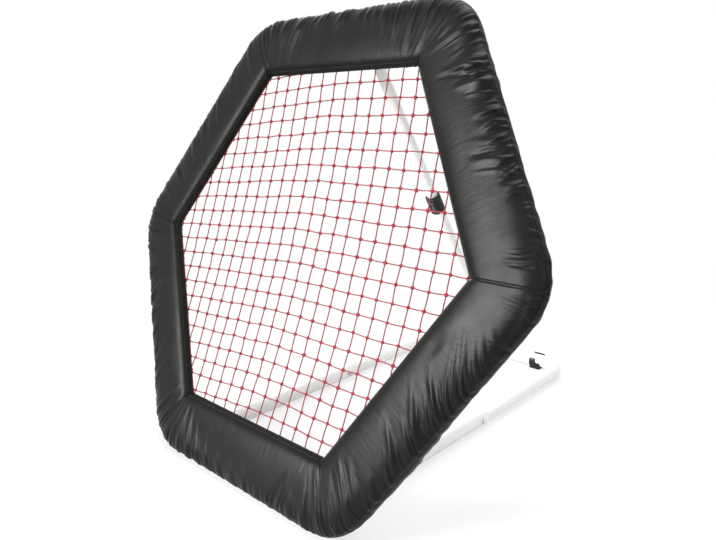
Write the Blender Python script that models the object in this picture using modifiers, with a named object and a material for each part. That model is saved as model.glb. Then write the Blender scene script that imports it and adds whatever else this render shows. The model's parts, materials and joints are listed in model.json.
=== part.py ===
"""Soccer rebounder: a padded hexagonal net panel that leans back on a folding steel stand.

The model is in metres with +Z up. The player stands at -Y and the stand reaches back along +Y. The origin
is the middle of the footprint on the floor. Panel pieces are modelled upright, as (across, depth, height),
and an empty on the hinge line leans them back. Strut pieces are modelled along Z, under an empty on the top
pivot.
"""

import math

import bmesh
import bpy
from mathutils import Matrix, Vector

# Panel
ACROSS_FLATS = 0.7244  # height of the padded hexagon between its flat edges
BAND = 0.0980  # width of the padded band, outer seam to inner hem
LEAN = math.radians(21.4)  # the panel's lean from the vertical at rest
COVER_WALL = 0.0012
SEAM_DEPTH = 0.004  # the outer seam lies this far behind the hem
CROWN = 0.0155  # how far the padding swells in front of the line from seam to hem
BACK_SWELL = 0.0225  # how far it swells behind that line
SWELL_SHARES = (0.0, 0.03, 0.11, 0.25, 0.44, 0.66, 0.85, 1.0)
CORNER_ROUND = 0.09  # radius of the padding's outer corners
HEM_LIP = 0.008  # free hem beyond the sleeve's inner side
HEM_THICK = 0.0015
MITRE_GAP = 0.0002
FLAT_CUT = 0.0005  # depth of the flat on which the lower cover rests

# Panel frame
FRAME_R = 0.0095
FRAME_BORE = 0.0083
FRAME_INSET = 0.048  # outer seam to the frame tube's middle
FRAME_DEPTH = 0.0050
ELBOW_BEND = 0.016
SPIGOT = 0.030
CORNER_ROOM = 0.010  # from a frame tube to the outer side of the foam's slot
ELBOW_ROOM = 0.003  # and to its inner side
BRACKET_FLARE = 0.012  # how far the slot widens towards the back, for the brackets
SHOULDER = 0.002  # straight part of an elbow's body at each end
STEP = 0.0001  # length over which the body steps down to its spigot

# Net
NET_MESH = 0.0300
NET_CORD = 0.0024
NET_WELD = 0.010  # edge meshes smaller than this close up
ROPE_R = 0.0025
ROPE_IN = 0.003  # hem's edge to the border rope's middle

# Stand
STAND_R = 0.0125
STAND_BORE = 0.011
STAND_HALF = 0.1575  # leg's middle from the centre plane
STAND_BEND = 0.045
BAR_REACH = 0.699  # front seam to the rear bar's middle
FOOT_SOLE = 0.003  # rubber under the rear bar
LEG_JOINT = 0.405  # front seam to where the rear tube plugs into the legs
LEG_PLUG_IN = 0.045
LEG_SCREW_BACK = 0.015
LEG_END = 0.009  # leg's end beyond the hinge line
PLUG_CAP = 0.0015
PLUG_SPIGOT = 0.004
REAR_FOOT_LONG = 0.022
REAR_FOOT_NOTCH = 0.010
REAR_FOOT_WALL = 0.0028

# Hinge and brackets
HINGE_DEPTH = 0.046  # hem's plane to the hinge line
EAR_THICK = 0.003
EAR_R = 0.0100
EAR_ROOM = 0.0015  # round a bracket, where it leaves the padding
BOLT_R = 0.0040
BOLT_HEAD_R = 0.0068
BOLT_HEAD = 0.005
SCREW_R = 0.0025
SCREW_HEAD_R = 0.0045
SCREW_HEAD = 0.0028

# Strut
STRUT_TOP_RISE = 0.0216  # top frame tube's middle to the top pivot, along the panel
STRUT_TOP_DEPTH = 0.048
UPPER_R = 0.0095
UPPER_BORE = 0.0083
UPPER_END = 0.397  # top pivot to the inner tube's lower end
LOWER_R = 0.0112
SLIDE_GAP = 0.0004
COLLAR_TOP = 0.3065
COLLAR_LONG = 0.035
COLLAR_R = 0.0135
COLLAR_LIP = 0.0055
COLLAR_RIBS = 3
COLLAR_RIB = 0.0007
EYE_LONG = 0.016
EYE_SPIGOT = 0.022
FOOT_LIFT = 0.019  # strut's end above the rear bar's middle
FOOT_LONG = 0.034
FOOT_SPIGOT = 0.022
CRADLE_GAP = 0.0010
CRADLE_WALL = 0.006
CRADLE_WIDE = 0.024
CRADLE_FROM = math.radians(8)
CRADLE_TO = math.radians(70)

FIT = 0.0003  # gap between pieces that touch
SLEEVE = BAND - HEM_LIP  # outer seam to the inner seam that closes the sleeve
SLEEVE_INNER = SLEEVE - COVER_WALL  # outer seam to where the padding ends
NET_DEPTH = HEM_THICK + FIT + ROPE_R
SIDES = 6
TURN = math.radians(360 / SIDES)
HALF_TURN_TAN = math.tan(TURN / 2)
APOTHEM = ACROSS_FLATS / 2
ROUND_STEPS = 20
SMALL_STEPS = 12
MERGE = 1e-5
SIDE_NAMES = ("bottom", "lower_right", "upper_right", "top", "upper_left", "lower_left")


def lean_point(depth, height):
    """Returns the world (y, z) of a panel point, before the origin is moved to the footprint's middle."""
    y = height * math.sin(LEAN) + depth * math.cos(LEAN)
    z = height * math.cos(LEAN) - depth * math.sin(LEAN)
    return y, z


def swell(share):
    """Returns how full the padding is at a share of the way from its outer seam to its inner one, up to 1."""
    return 2.70 * share**0.5 * (1 - share) ** 1.1


def padded_section(inset, wall):
    """Returns the padding's front and back as (inset, depth), drawn in by an inset and a wall."""
    front, back = [], []
    for share in SWELL_SHARES:
        full = swell(share)
        depth = SEAM_DEPTH + (HEM_THICK / 2 - SEAM_DEPTH) * share
        front.append((inset + (BAND - 2 * inset) * share, depth - (CROWN - wall) * full))
        back.append((inset + (SLEEVE - 2 * inset) * share, depth + (BACK_SWELL - wall) * full))
    return front, back


def cover_section():
    """The cover's outside: front, hem and back."""
    front, back = padded_section(0.0, 0.0)
    hem = [(BAND, 0.0), (BAND, HEM_THICK), (SLEEVE, HEM_THICK)]
    return front[:-1] + hem + back[-2:0:-1]


LOWEST = min(lean_point(depth, inset)[1] for inset, depth in cover_section())
PANEL_RISE = -LOWEST - FLAT_CUT
BAR_Z = STAND_R + FOOT_SOLE
HINGE_HEIGHT = (BAR_Z - PANEL_RISE + HINGE_DEPTH * math.sin(LEAN)) / math.cos(LEAN)
FRONT_Y = min(lean_point(depth, inset)[0] for inset, depth in cover_section())
FOOTPRINT_MIDDLE = (FRONT_Y + BAR_REACH + STAND_R + FIT + REAR_FOOT_WALL) / 2


def world_point(x, depth, height):
    """Returns a panel point in the finished model's frame."""
    y, z = lean_point(depth, height)
    return Vector((x, y - FOOTPRINT_MIDDLE, z + PANEL_RISE))


HINGE = world_point(0, HINGE_DEPTH, HINGE_HEIGHT)
TOP_PIVOT = world_point(0, STRUT_TOP_DEPTH, ACROSS_FLATS - FRAME_INSET + STRUT_TOP_RISE)
BAR = Vector((0, BAR_REACH - FOOTPRINT_MIDDLE, BAR_Z))
STRUT_LONG = (BAR - TOP_PIVOT).length
STRUT_TILT = math.atan2(BAR.y - TOP_PIVOT.y, TOP_PIVOT.z - BAR.z)
LEG_JOINT_Y = LEG_JOINT - FOOTPRINT_MIDDLE
LOWER_BORE = UPPER_R + SLIDE_GAP
REAR_FOOT_X = STAND_HALF - STAND_BEND - REAR_FOOT_LONG / 2


def clear_scene():
    for obj in list(bpy.data.objects):
        bpy.data.objects.remove(obj, do_unlink=True)


def make_material(name, colour, roughness, metallic=0.0):
    material = bpy.data.materials.new(name)
    material.use_nodes = True
    shader = material.node_tree.nodes["Principled BSDF"]
    shader.inputs["Base Color"].default_value = (*colour, 1.0)
    shader.inputs["Roughness"].default_value = roughness
    shader.inputs["Metallic"].default_value = metallic
    return material


def make_collection(name, hidden=False):
    collection = bpy.data.collections.new(name)
    bpy.context.scene.collection.children.link(collection)
    collection.hide_render = hidden
    return collection


def add_object(name, data, parent=None, material=None, collection=None):
    """Links an object for the mesh or curve, shaded smooth where its faces meet gently."""
    obj = bpy.data.objects.new(name, data)
    (collection or PARTS).objects.link(obj)
    obj.parent = parent
    if material:
        data.materials.append(material)
    if obj.type == "MESH":
        data.shade_smooth()
        data.set_sharp_from_angle(angle=math.radians(35))
    return obj


def add_empty(name, place, turn=0.0, parent=None):
    """Adds an empty on a joint's axis, turned about X."""
    empty = bpy.data.objects.new(name, None)
    PARTS.objects.link(empty)
    empty.location = place
    empty.rotation_euler = (turn, 0, 0)
    empty.parent = parent
    return empty


def cylinder_mesh(radius, start, end, steps=ROUND_STEPS):
    """Makes a cylinder mesh between two points."""
    start, end = Vector(start), Vector(end)
    along = end - start
    place = Matrix.Translation((start + end) / 2) @ along.to_track_quat("Z", "Y").to_matrix().to_4x4()
    shape = bmesh.new()
    bmesh.ops.create_cone(
        shape, cap_ends=True, segments=steps, radius1=radius, radius2=radius, depth=along.length, matrix=place
    )
    return to_mesh(shape, "cylinder")


def box_mesh(low, high):
    """Makes a box mesh between two corners."""
    low, high = Vector(low), Vector(high)
    size = high - low
    shape = bmesh.new()
    place = Matrix.Translation((low + high) / 2) @ Matrix.Diagonal((*size, 1))
    bmesh.ops.create_cube(shape, size=1.0, matrix=place)
    return to_mesh(shape, "box")


def to_mesh(shape, name):
    mesh = bpy.data.meshes.new(name)
    bmesh.ops.recalc_face_normals(shape, faces=shape.faces)
    shape.to_mesh(mesh)
    shape.free()
    return mesh


def turned_mesh(name, profile, closed, steps=ROUND_STEPS):
    """Turns a profile of (radius, height) about Z. A closed profile gives a hollow piece."""
    shape = bmesh.new()
    points = [shape.verts.new((radius, 0, height)) for radius, height in profile]
    edges = [shape.edges.new(pair) for pair in zip(points, points[1:])]
    if closed:
        edges.append(shape.edges.new((points[-1], points[0])))
    bmesh.ops.spin(
        shape,
        geom=[*points, *edges],
        cent=(0, 0, 0),
        axis=(0, 0, 1),
        angle=math.tau,
        steps=steps,
        use_merge=True,
        use_normal_flip=False,
    )
    bmesh.ops.remove_doubles(shape, verts=shape.verts, dist=MERGE)
    return to_mesh(shape, name)


def tube_along_path(name, points, radius, cyclic=False, sides=8, shares=()):
    """Sweeps a round bar along the points, each at its share of the radius, and welds its caps on."""
    data = bpy.data.curves.new(name, "CURVE")
    data.dimensions = "3D"
    data.bevel_depth = radius
    data.bevel_resolution = sides
    data.use_fill_caps = True
    spline = data.splines.new("POLY")
    spline.points.add(len(points) - 1)
    for point, place, share in zip(spline.points, points, shares or [1.0] * len(points)):
        point.co = (*place, 1)
        point.radius = share
    spline.use_cyclic_u = cyclic
    guide = bpy.data.objects.new(name, data)
    bpy.context.scene.collection.objects.link(guide)
    bpy.context.view_layer.update()
    mesh = bpy.data.meshes.new_from_object(guide.evaluated_get(bpy.context.evaluated_depsgraph_get()))
    bpy.data.objects.remove(guide, do_unlink=True)
    bpy.data.curves.remove(data)
    shape = bmesh.new()
    shape.from_mesh(mesh)
    bpy.data.meshes.remove(mesh)
    bmesh.ops.remove_doubles(shape, verts=shape.verts, dist=MERGE)
    return to_mesh(shape, name)


def outline_mesh(name, outline, low, high):
    """Extrudes a flat outline of (y, z) points along X."""
    shape = bmesh.new()
    face = shape.faces.new([shape.verts.new((low, y, z)) for y, z in outline])
    grown = bmesh.ops.extrude_face_region(shape, geom=[face])
    moved = [item for item in grown["geom"] if isinstance(item, bmesh.types.BMVert)]
    bmesh.ops.translate(shape, verts=moved, vec=(high - low, 0, 0))
    return to_mesh(shape, name)


def combine(obj, mesh, operation):
    """Adds, or cuts away, a mesh given in the object's own frame."""
    tool = add_object(f"{obj.name}_{operation.lower()}_{len(obj.modifiers)}", mesh, obj.parent, None, TOOLS)
    tool.hide_render = True
    tool.display_type = "WIRE"
    modifier = obj.modifiers.new(tool.name, "BOOLEAN")
    modifier.operation = operation
    modifier.solver = "EXACT"
    modifier.object = tool
    return obj


def cut(obj, mesh):
    return combine(obj, mesh, "DIFFERENCE")


def join(obj, mesh):
    return combine(obj, mesh, "UNION")


def ring_points(radius, centre, start, end, steps):
    """Returns points of an arc in the YZ plane, as (y, z)."""
    turns = [start + (end - start) * step / steps for step in range(steps + 1)]
    return [(centre[0] + radius * math.cos(turn), centre[1] + radius * math.sin(turn)) for turn in turns]


def side_turn(side):
    """Returns the turn about the hexagon's middle that carries the lower side to another side."""
    middle = Vector((0, 0, APOTHEM))
    return Matrix.Translation(middle) @ Matrix.Rotation(-TURN * side, 4, "Y") @ Matrix.Translation(-middle)


def corner_shift(share):
    """Returns how far the outer edge has curved in at a share of the side's length."""
    straight = (APOTHEM - CORNER_ROUND) * HALF_TURN_TAN
    shift = 0.0
    for _ in range(6):
        past = min(abs(share), 1.0) * (APOTHEM - shift) * HALF_TURN_TAN - straight
        shift = CORNER_ROUND - math.sqrt(CORNER_ROUND**2 - min(max(past, 0.0), CORNER_ROUND / 2) ** 2)
    return shift


def band_point(inset, depth, share):
    """Places a point of the band's section at a share of the side's length, -1 to 1 between its mitres."""
    inset += corner_shift(share) * max(0.0, 1 - inset / SLEEVE_INNER)
    reach = (APOTHEM - inset) * HALF_TURN_TAN - MITRE_GAP
    return Vector((share * reach, depth, inset))


def stations(end):
    """Returns the shares at which a band is lofted, closer together round its corners."""
    half = [end, 0.94, 0.87, 0.79]
    return [-share for share in half] + [0.0] + half[::-1]


def loft_band(name, section, shares):
    """Lofts a closed section of (inset, depth) points along one side of the hexagon."""
    shape = bmesh.new()
    rows = [[shape.verts.new(band_point(inset, depth, share)) for inset, depth in section] for share in shares]
    count = len(section)
    for row, after in zip(rows, rows[1:]):
        for i in range(count):
            j = (i + 1) % count
            shape.faces.new((row[i], row[j], after[j], after[i]))
    shape.faces.new(rows[0])
    shape.faces.new(rows[-1])
    bmesh.ops.triangulate(shape, faces=[face for face in shape.faces if len(face.verts) > 4])
    return to_mesh(shape, name)


def cavity_section(gap):
    """The space inside the cover as its front and back, drawn in by its wall and a gap."""
    front, back = padded_section(1.5 * COVER_WALL + 2 * gap, COVER_WALL + gap)
    return [point for point in front if point[0] < back[-1][0]], back


def make_cover(side, parent):
    mesh = loft_band("cover", cover_section(), stations(1.0))
    cover = add_object(f"cover_{SIDE_NAMES[side]}", mesh, parent, FABRIC)
    front, back = cavity_section(0.0)
    cut(cover, loft_band("hollow", front + back[:0:-1], stations(1.02)))
    return cover


def make_foam(side, parent):
    """The pad, open at its back where it is pushed over the frame tube and where brackets leave it."""
    front, back = cavity_section(FIT)
    bottom = FRAME_DEPTH - FRAME_R - FIT
    near, far = FRAME_INSET - FRAME_R - CORNER_ROOM, FRAME_INSET + FRAME_R + FIT + ELBOW_ROOM
    flare = near - BRACKET_FLARE
    inner = [point for point in back if point[0] > far + 0.001]
    outer = [point for point in back if point[0] < flare - 0.001]
    slot = [(far, depth_at(back, far)), (far, bottom), (near, bottom), (near, FRAME_DEPTH)]
    section = front + inner[::-1] + slot + [(flare, depth_at(back, flare))] + outer[:0:-1]
    mesh = loft_band("foam", section, stations(0.99))
    return add_object(f"foam_pad_{SIDE_NAMES[side]}", mesh, parent, FOAM)


def depth_at(points, inset):
    """Returns the depth at an inset on a line of (inset, depth) points."""
    for (start, first), (end, second) in zip(points, points[1:]):
        if start <= inset <= end:
            return first + (second - first) * (inset - start) / (end - start)
    return points[-1][1]


def frame_half():
    """Half the straight length of one frame tube."""
    return (APOTHEM - FRAME_INSET - ELBOW_BEND) * HALF_TURN_TAN - SHOULDER - FIT


def make_frame_tube(side, parent):
    half = frame_half()
    profile = [(FRAME_R, half), (FRAME_R, -half), (FRAME_BORE, -half), (FRAME_BORE, half)]
    mesh = turned_mesh("frame_tube", profile, closed=True)
    mesh.transform(Matrix.Translation((0, FRAME_DEPTH, FRAME_INSET)) @ Matrix.Rotation(math.pi / 2, 4, "Y"))
    return add_object(f"frame_tube_{SIDE_NAMES[side]}", mesh, parent, PAINT)


def make_elbow(side, parent):
    """The corner between a side and the next one: a bent body and two spigots."""
    tangent = ELBOW_BEND * HALF_TURN_TAN
    corner = (APOTHEM - FRAME_INSET) * HALF_TURN_TAN
    start = corner - tangent
    centre = (start, FRAME_INSET + ELBOW_BEND)
    arc = ring_points(ELBOW_BEND, centre, -math.pi / 2, -math.pi / 2 + TURN, 6)
    bend = [Vector((x, FRAME_DEPTH, z)) for x, z in arc]
    back = Vector((-1, 0, 0))
    on = Vector((math.cos(TURN), 0, math.sin(TURN)))
    path = [bend[0] + back * reach for reach in (SPIGOT, SHOULDER + STEP, SHOULDER)] + bend
    path += [bend[-1] + on * reach for reach in (SHOULDER, SHOULDER + STEP, SPIGOT)]
    thin = (FRAME_BORE - FIT) / FRAME_R
    shares = [thin, thin, *[1.0] * (len(bend) + 2), thin, thin]
    mesh = tube_along_path("elbow", path, FRAME_R, sides=3, shares=shares)
    return add_object(f"corner_elbow_{side + 1}", mesh, parent, PLASTIC)


def make_net(parent):
    """A square mesh clipped to the hexagon, with a cord along every edge."""
    rope_inset = BAND - ROPE_IN
    edge = APOTHEM - rope_inset - ROPE_R - FIT - NET_CORD / 2
    cells = math.ceil(edge / math.cos(TURN / 2) / NET_MESH) + 1
    half = cells * NET_MESH
    shape = bmesh.new()
    lean_up = Matrix.Rotation(math.pi / 2, 4, "X")
    bmesh.ops.create_grid(shape, x_segments=2 * cells, y_segments=2 * cells, size=half, matrix=lean_up)
    for side in range(SIDES):
        away = Vector((math.sin(TURN * side), 0, -math.cos(TURN * side)))
        bmesh.ops.bisect_plane(
            shape,
            geom=[*shape.verts, *shape.edges, *shape.faces],
            plane_co=away * edge,
            plane_no=away,
            clear_outer=True,
            dist=MERGE,
        )
    bmesh.ops.remove_doubles(shape, verts=shape.verts, dist=NET_WELD)
    bmesh.ops.translate(shape, verts=shape.verts, vec=(0, NET_DEPTH, APOTHEM))
    print("net gaps:", len(shape.faces))
    mesh = bpy.data.meshes.new("net")
    shape.to_mesh(mesh)
    shape.free()
    net = add_object("net", mesh, parent, NET_RED)
    wires = net.modifiers.new("cords", "WIREFRAME")
    wires.thickness = NET_CORD
    wires.use_boundary = True
    wires.use_even_offset = False
    wires.use_replace = True
    return net


def make_rope(parent):
    """The border rope, behind the hem."""
    reach = APOTHEM - BAND + ROPE_IN
    corner = reach / math.cos(TURN / 2)
    points = []
    for side in range(SIDES):
        turn = -math.pi / 2 + TURN * (side + 0.5)
        points.append((corner * math.cos(turn), NET_DEPTH, APOTHEM + corner * math.sin(turn)))
    return add_object("net_border_rope", tube_along_path("rope", points, ROPE_R, True, 2), parent, NET_RED)


def bolt_mesh(shank, head_r, head_long, length, beyond, hexagonal=True):
    """A bolt along X: its head ends at 0 and its shank runs to the far side of the nut."""
    steps = 6 if hexagonal else SMALL_STEPS
    head = cylinder_mesh(head_r, (-0.0001, 0, 0), (head_long, 0, 0), steps)
    stem = cylinder_mesh(shank, (-length - beyond, 0, 0), (head_long / 2, 0, 0), SMALL_STEPS)
    return head, stem


def make_bolt(name, nut_name, place, inward, grip, sizes, parent):
    """Adds a bolt and its nut. The head lies on the side away from inward, and grip is what they clamp."""
    shank, head_r, head_long, hexagonal = sizes
    head, stem = bolt_mesh(shank, head_r, head_long, grip + 2 * FIT, head_long + 0.0015, hexagonal)
    flip = Matrix.Rotation(math.pi if inward > 0 else 0, 4, "Z")
    seat = Matrix.Translation(Vector(place) - Vector((inward * (grip / 2 + FIT), 0, 0))) @ flip
    for mesh in (head, stem):
        mesh.transform(seat)
    bolt = add_object(name, head, parent, ZINC)
    join(bolt, stem)
    near = Vector(place) + Vector((inward * (grip / 2 + FIT), 0, 0))
    far = near + Vector((inward * head_long, 0, 0))
    nut = add_object(nut_name, cylinder_mesh(head_r, near, far, 6), parent, ZINC)
    reach = Vector((inward * 0.01, 0, 0))
    cut(nut, cylinder_mesh(shank + FIT, near - reach, far + reach, SMALL_STEPS))
    return bolt, nut


def bracket_ear(low, high, seat, pivot, radius):
    """One ear from a frame tube to a pivot, both (depth, height) points, from low to high along X."""
    along = Vector((pivot[0] - seat[0], pivot[1] - seat[1])).normalized()
    turn = math.atan2(along.y, along.x)
    outline = ring_points(radius, pivot, turn - math.pi / 2, turn + math.pi / 2, 8)
    side = Vector((-along.y, along.x)) * radius
    outline.append((seat[0] + side.x, seat[1] + side.y))
    outline.append((seat[0] - side.x, seat[1] - side.y))
    return outline_mesh("ear", outline, low, high)


def make_bracket(name, centre, inner_half, seat, pivot, parent):
    """A bracket welded behind a frame tube: two ears and the web that joins them."""
    outer = inner_half + EAR_THICK
    mesh = bracket_ear(centre + inner_half, centre + outer, seat, pivot, EAR_R)
    bracket = add_object(name, mesh, parent, PAINT)
    join(bracket, bracket_ear(centre - outer, centre - inner_half, seat, pivot, EAR_R))
    along = Vector((pivot[0] - seat[0], pivot[1] - seat[1])).normalized()
    across = Vector((-along.y, along.x)) * EAR_R * 0.9
    near = Vector(seat) + along * FRAME_R * 0.3
    far = Vector(seat) + along * (FRAME_R + FIT + EAR_THICK)
    web = [near - across, far - across, far + across, near + across]
    half = (inner_half + outer) / 2
    join(bracket, outline_mesh("web", [(p.x, p.y) for p in web], centre - half, centre + half))
    reach = 2 * outer
    cut(bracket, cylinder_mesh(FRAME_R + FIT, (centre - reach, *seat), (centre + reach, *seat), 24))
    cut(bracket, cylinder_mesh(BOLT_R + FIT, (centre - reach, *pivot), (centre + reach, *pivot), SMALL_STEPS))
    return bracket


def make_panel(parent):
    """Everything that leans back together."""
    pieces = []
    for side in range(SIDES):
        tube = make_frame_tube(side, parent)
        elbow = make_elbow(side, parent)
        foam = make_foam(side, parent)
        cover = make_cover(side, parent)
        for piece in (tube, elbow, foam, cover):
            turn_piece(piece, side_turn(side))
        pieces.append((tube, elbow, foam, cover))
    make_net(parent)
    make_rope(parent)
    frame = (FRAME_DEPTH, FRAME_INSET)
    hinge = (HINGE_DEPTH, HINGE_HEIGHT)
    leg_half = STAND_R + 0.0005
    for name, centre in (("left", -STAND_HALF), ("right", STAND_HALF)):
        make_bracket(f"hinge_bracket_{name}", centre, leg_half, frame, hinge, parent)
    top_frame = (FRAME_DEPTH, 2 * APOTHEM - FRAME_INSET)
    top = (STRUT_TOP_DEPTH, top_frame[1] + STRUT_TOP_RISE)
    make_bracket("top_bracket", 0.0, UPPER_R + 0.0008, top_frame, top, parent)
    ears = 2 * (UPPER_R + 0.0008 + EAR_THICK)
    hinge_bolt = (BOLT_R, BOLT_HEAD_R, BOLT_HEAD, True)
    make_bolt("top_bolt", "top_nut", (0, *top), 1, ears, hinge_bolt, parent)
    lower, upper = pieces[0][3], pieces[3][3]
    for centre in (-STAND_HALF, STAND_HALF):
        clear_bracket(lower, frame, hinge, centre, leg_half + EAR_THICK + EAR_ROOM)
    clear_bracket(upper, top_frame, top, 0.0, ears / 2 + EAR_ROOM)
    lower_flat = box_mesh((-APOTHEM, -APOTHEM, -0.05), (APOTHEM, APOTHEM, 0))
    to_panel = Matrix.Rotation(LEAN, 4, "X") @ Matrix.Translation((0, 0, -PANEL_RISE))
    lower_flat.transform(to_panel)
    cut(lower, lower_flat)


def clear_bracket(cover, seat, pivot, centre, half):
    """Opens the back of a cover where a bracket comes through."""
    cut(cover, bracket_ear(centre - half, centre + half, seat, pivot, EAR_R + 2 * EAR_ROOM))


def turn_piece(piece, turn):
    """Turns a piece's mesh, and those of the tools that shape it, about the hexagon's middle."""
    piece.data.transform(turn)
    for modifier in piece.modifiers:
        modifier.object.data.transform(turn)


def make_rear_u(parent):
    """The bent rear tube, from one leg joint round the rear bar to the other, with a spigot at each end."""
    tip, step = LEG_JOINT_Y - LEG_PLUG_IN, LEG_JOINT_Y - STEP
    thin = (STAND_BORE - FIT) / STAND_R
    outer = rear_path([tip, step, LEG_JOINT_Y])
    mesh = tube_along_path("rear_u", outer, STAND_R, sides=6, shares=rear_shares(thin, len(outer)))
    rear = add_object("stand_rear_u", mesh, parent, PAINT)
    wall = STAND_R - STAND_BORE
    narrow = (STAND_BORE - FIT - wall) / STAND_BORE
    inner = rear_path([tip - wall, LEG_JOINT_Y + STEP, LEG_JOINT_Y + 2 * wall])
    shares = rear_shares(narrow, len(inner))
    cut(rear, tube_along_path("rear_bore", inner, STAND_BORE, sides=6, shares=shares))
    for x in (-STAND_HALF, STAND_HALF):
        cut(rear, screw_hole(x))
    return rear


def rear_path(ends):
    """Returns the middle of the rear tube, with points at the given places along each end."""
    centre = (STAND_HALF - STAND_BEND, BAR.y - STAND_BEND)
    right = [(STAND_HALF, y) for y in ends] + ring_points(STAND_BEND, centre, 0, math.pi / 2, 6)
    left = [(-x, y) for x, y in reversed(right)]
    return [(x, y, BAR_Z) for x, y in right + left]


def rear_shares(thin, count):
    return [thin, thin, *[1.0] * (count - 4), thin, thin]


def screw_hole(x):
    reach = 2 * STAND_R
    y = LEG_JOINT_Y - LEG_SCREW_BACK
    return cylinder_mesh(SCREW_R + FIT, (x - reach, y, BAR_Z), (x + reach, y, BAR_Z), SMALL_STEPS)


def make_leg(name, x, parent):
    """A straight leg tube from the hinge to the rear tube, with its screw, nut and front plug."""
    front = HINGE.y - LEG_END
    back = LEG_JOINT_Y - FIT
    profile = [(STAND_R, back), (STAND_R, front), (STAND_BORE, front), (STAND_BORE, back)]
    mesh = turned_mesh("leg", profile, closed=True)
    mesh.transform(Matrix.Translation((x, 0, BAR_Z)) @ Matrix.Rotation(-math.pi / 2, 4, "X"))
    leg = add_object(f"stand_leg_{name}", mesh, parent, PAINT)
    reach = 2 * STAND_R
    hinge = (x - reach, HINGE.y, HINGE.z), (x + reach, HINGE.y, HINGE.z)
    cut(leg, cylinder_mesh(BOLT_R + FIT, *hinge, SMALL_STEPS))
    cut(leg, screw_hole(x))
    plug = add_object(
        f"leg_plug_{name}",
        cylinder_mesh(STAND_R, (x, front - FIT, BAR_Z), (x, front - FIT - PLUG_CAP, BAR_Z)),
        parent,
        PLASTIC,
    )
    inside = (x, front + PLUG_SPIGOT, BAR_Z)
    join(plug, cylinder_mesh(STAND_BORE - FIT, (x, front - FIT - PLUG_CAP / 2, BAR_Z), inside))
    inward = -1 if x > 0 else 1
    bolt = (BOLT_R, BOLT_HEAD_R, BOLT_HEAD, True)
    ears = 2 * (STAND_R + 0.0005 + EAR_THICK)
    make_bolt(f"hinge_bolt_{name}", f"hinge_nut_{name}", (x, HINGE.y, HINGE.z), inward, ears, bolt, parent)
    screw = (SCREW_R, SCREW_HEAD_R, SCREW_HEAD, False)
    place = (x, LEG_JOINT_Y - LEG_SCREW_BACK, BAR_Z)
    make_bolt(f"leg_screw_{name}", f"leg_nut_{name}", place, inward, 2 * STAND_R, screw, parent)
    return leg


def make_rear_foot(name, x, parent):
    """A snap-on foot: an open ring on the rear bar with a flat sole and a step in its outer end."""
    low, high = x - REAR_FOOT_LONG / 2, x + REAR_FOOT_LONG / 2
    outer = STAND_R + FIT + REAR_FOOT_WALL
    centre = (BAR.y, BAR_Z)
    ring = cylinder_mesh(outer, (low, *centre), (high, *centre), 28)
    foot = add_object(f"rear_foot_{name}", ring, parent, PLASTIC)
    sole = outer * 0.8
    join(foot, box_mesh((low, BAR.y - sole, 0), (high, BAR.y + sole, STAND_R / 2)))
    cut(foot, box_mesh((low - 0.01, BAR.y - 2 * outer, -outer), (high + 0.01, BAR.y + 2 * outer, 0)))
    cut(foot, cylinder_mesh(STAND_R + FIT, (low - 0.01, *centre), (high + 0.01, *centre), 28))
    mouth = (low - 0.01, BAR.y - 2 * outer, BAR_Z + STAND_R * 0.5)
    cut(foot, box_mesh(mouth, (high + 0.01, BAR.y + outer * 0.45, 2 * outer + BAR_Z)))
    step = high - REAR_FOOT_NOTCH if x > 0 else low - 0.01
    end = high + 0.01 if x > 0 else low + REAR_FOOT_NOTCH
    low_corner = (step, BAR.y - 2 * outer, BAR_Z - STAND_R * 0.2)
    cut(foot, box_mesh(low_corner, (end, BAR.y + outer * 0.45, 2 * outer + BAR_Z)))
    return foot


def make_upper(parent):
    """The strut's inner tube and the eye in its top end. The top pivot is at the origin."""
    start = -EYE_LONG - FIT
    profile = [(UPPER_R, start), (UPPER_R, -UPPER_END), (UPPER_BORE, -UPPER_END), (UPPER_BORE, start)]
    add_object("strut_upper_tube", turned_mesh("upper", profile, closed=True), parent, PAINT)
    eye = add_object(
        "strut_top_eye", cylinder_mesh(UPPER_R, (-UPPER_R, 0, 0), (UPPER_R, 0, 0), 24), parent, PLASTIC
    )
    join(eye, cylinder_mesh(UPPER_R * 0.98, (0, 0, -UPPER_R * 0.3), (0, 0, -EYE_LONG)))
    join(eye, cylinder_mesh(UPPER_BORE - FIT, (0, 0, -EYE_LONG + 0.001), (0, 0, -EYE_LONG - EYE_SPIGOT)))
    cut(eye, cylinder_mesh(BOLT_R + FIT, (-0.02, 0, 0), (0.02, 0, 0), SMALL_STEPS))


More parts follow.
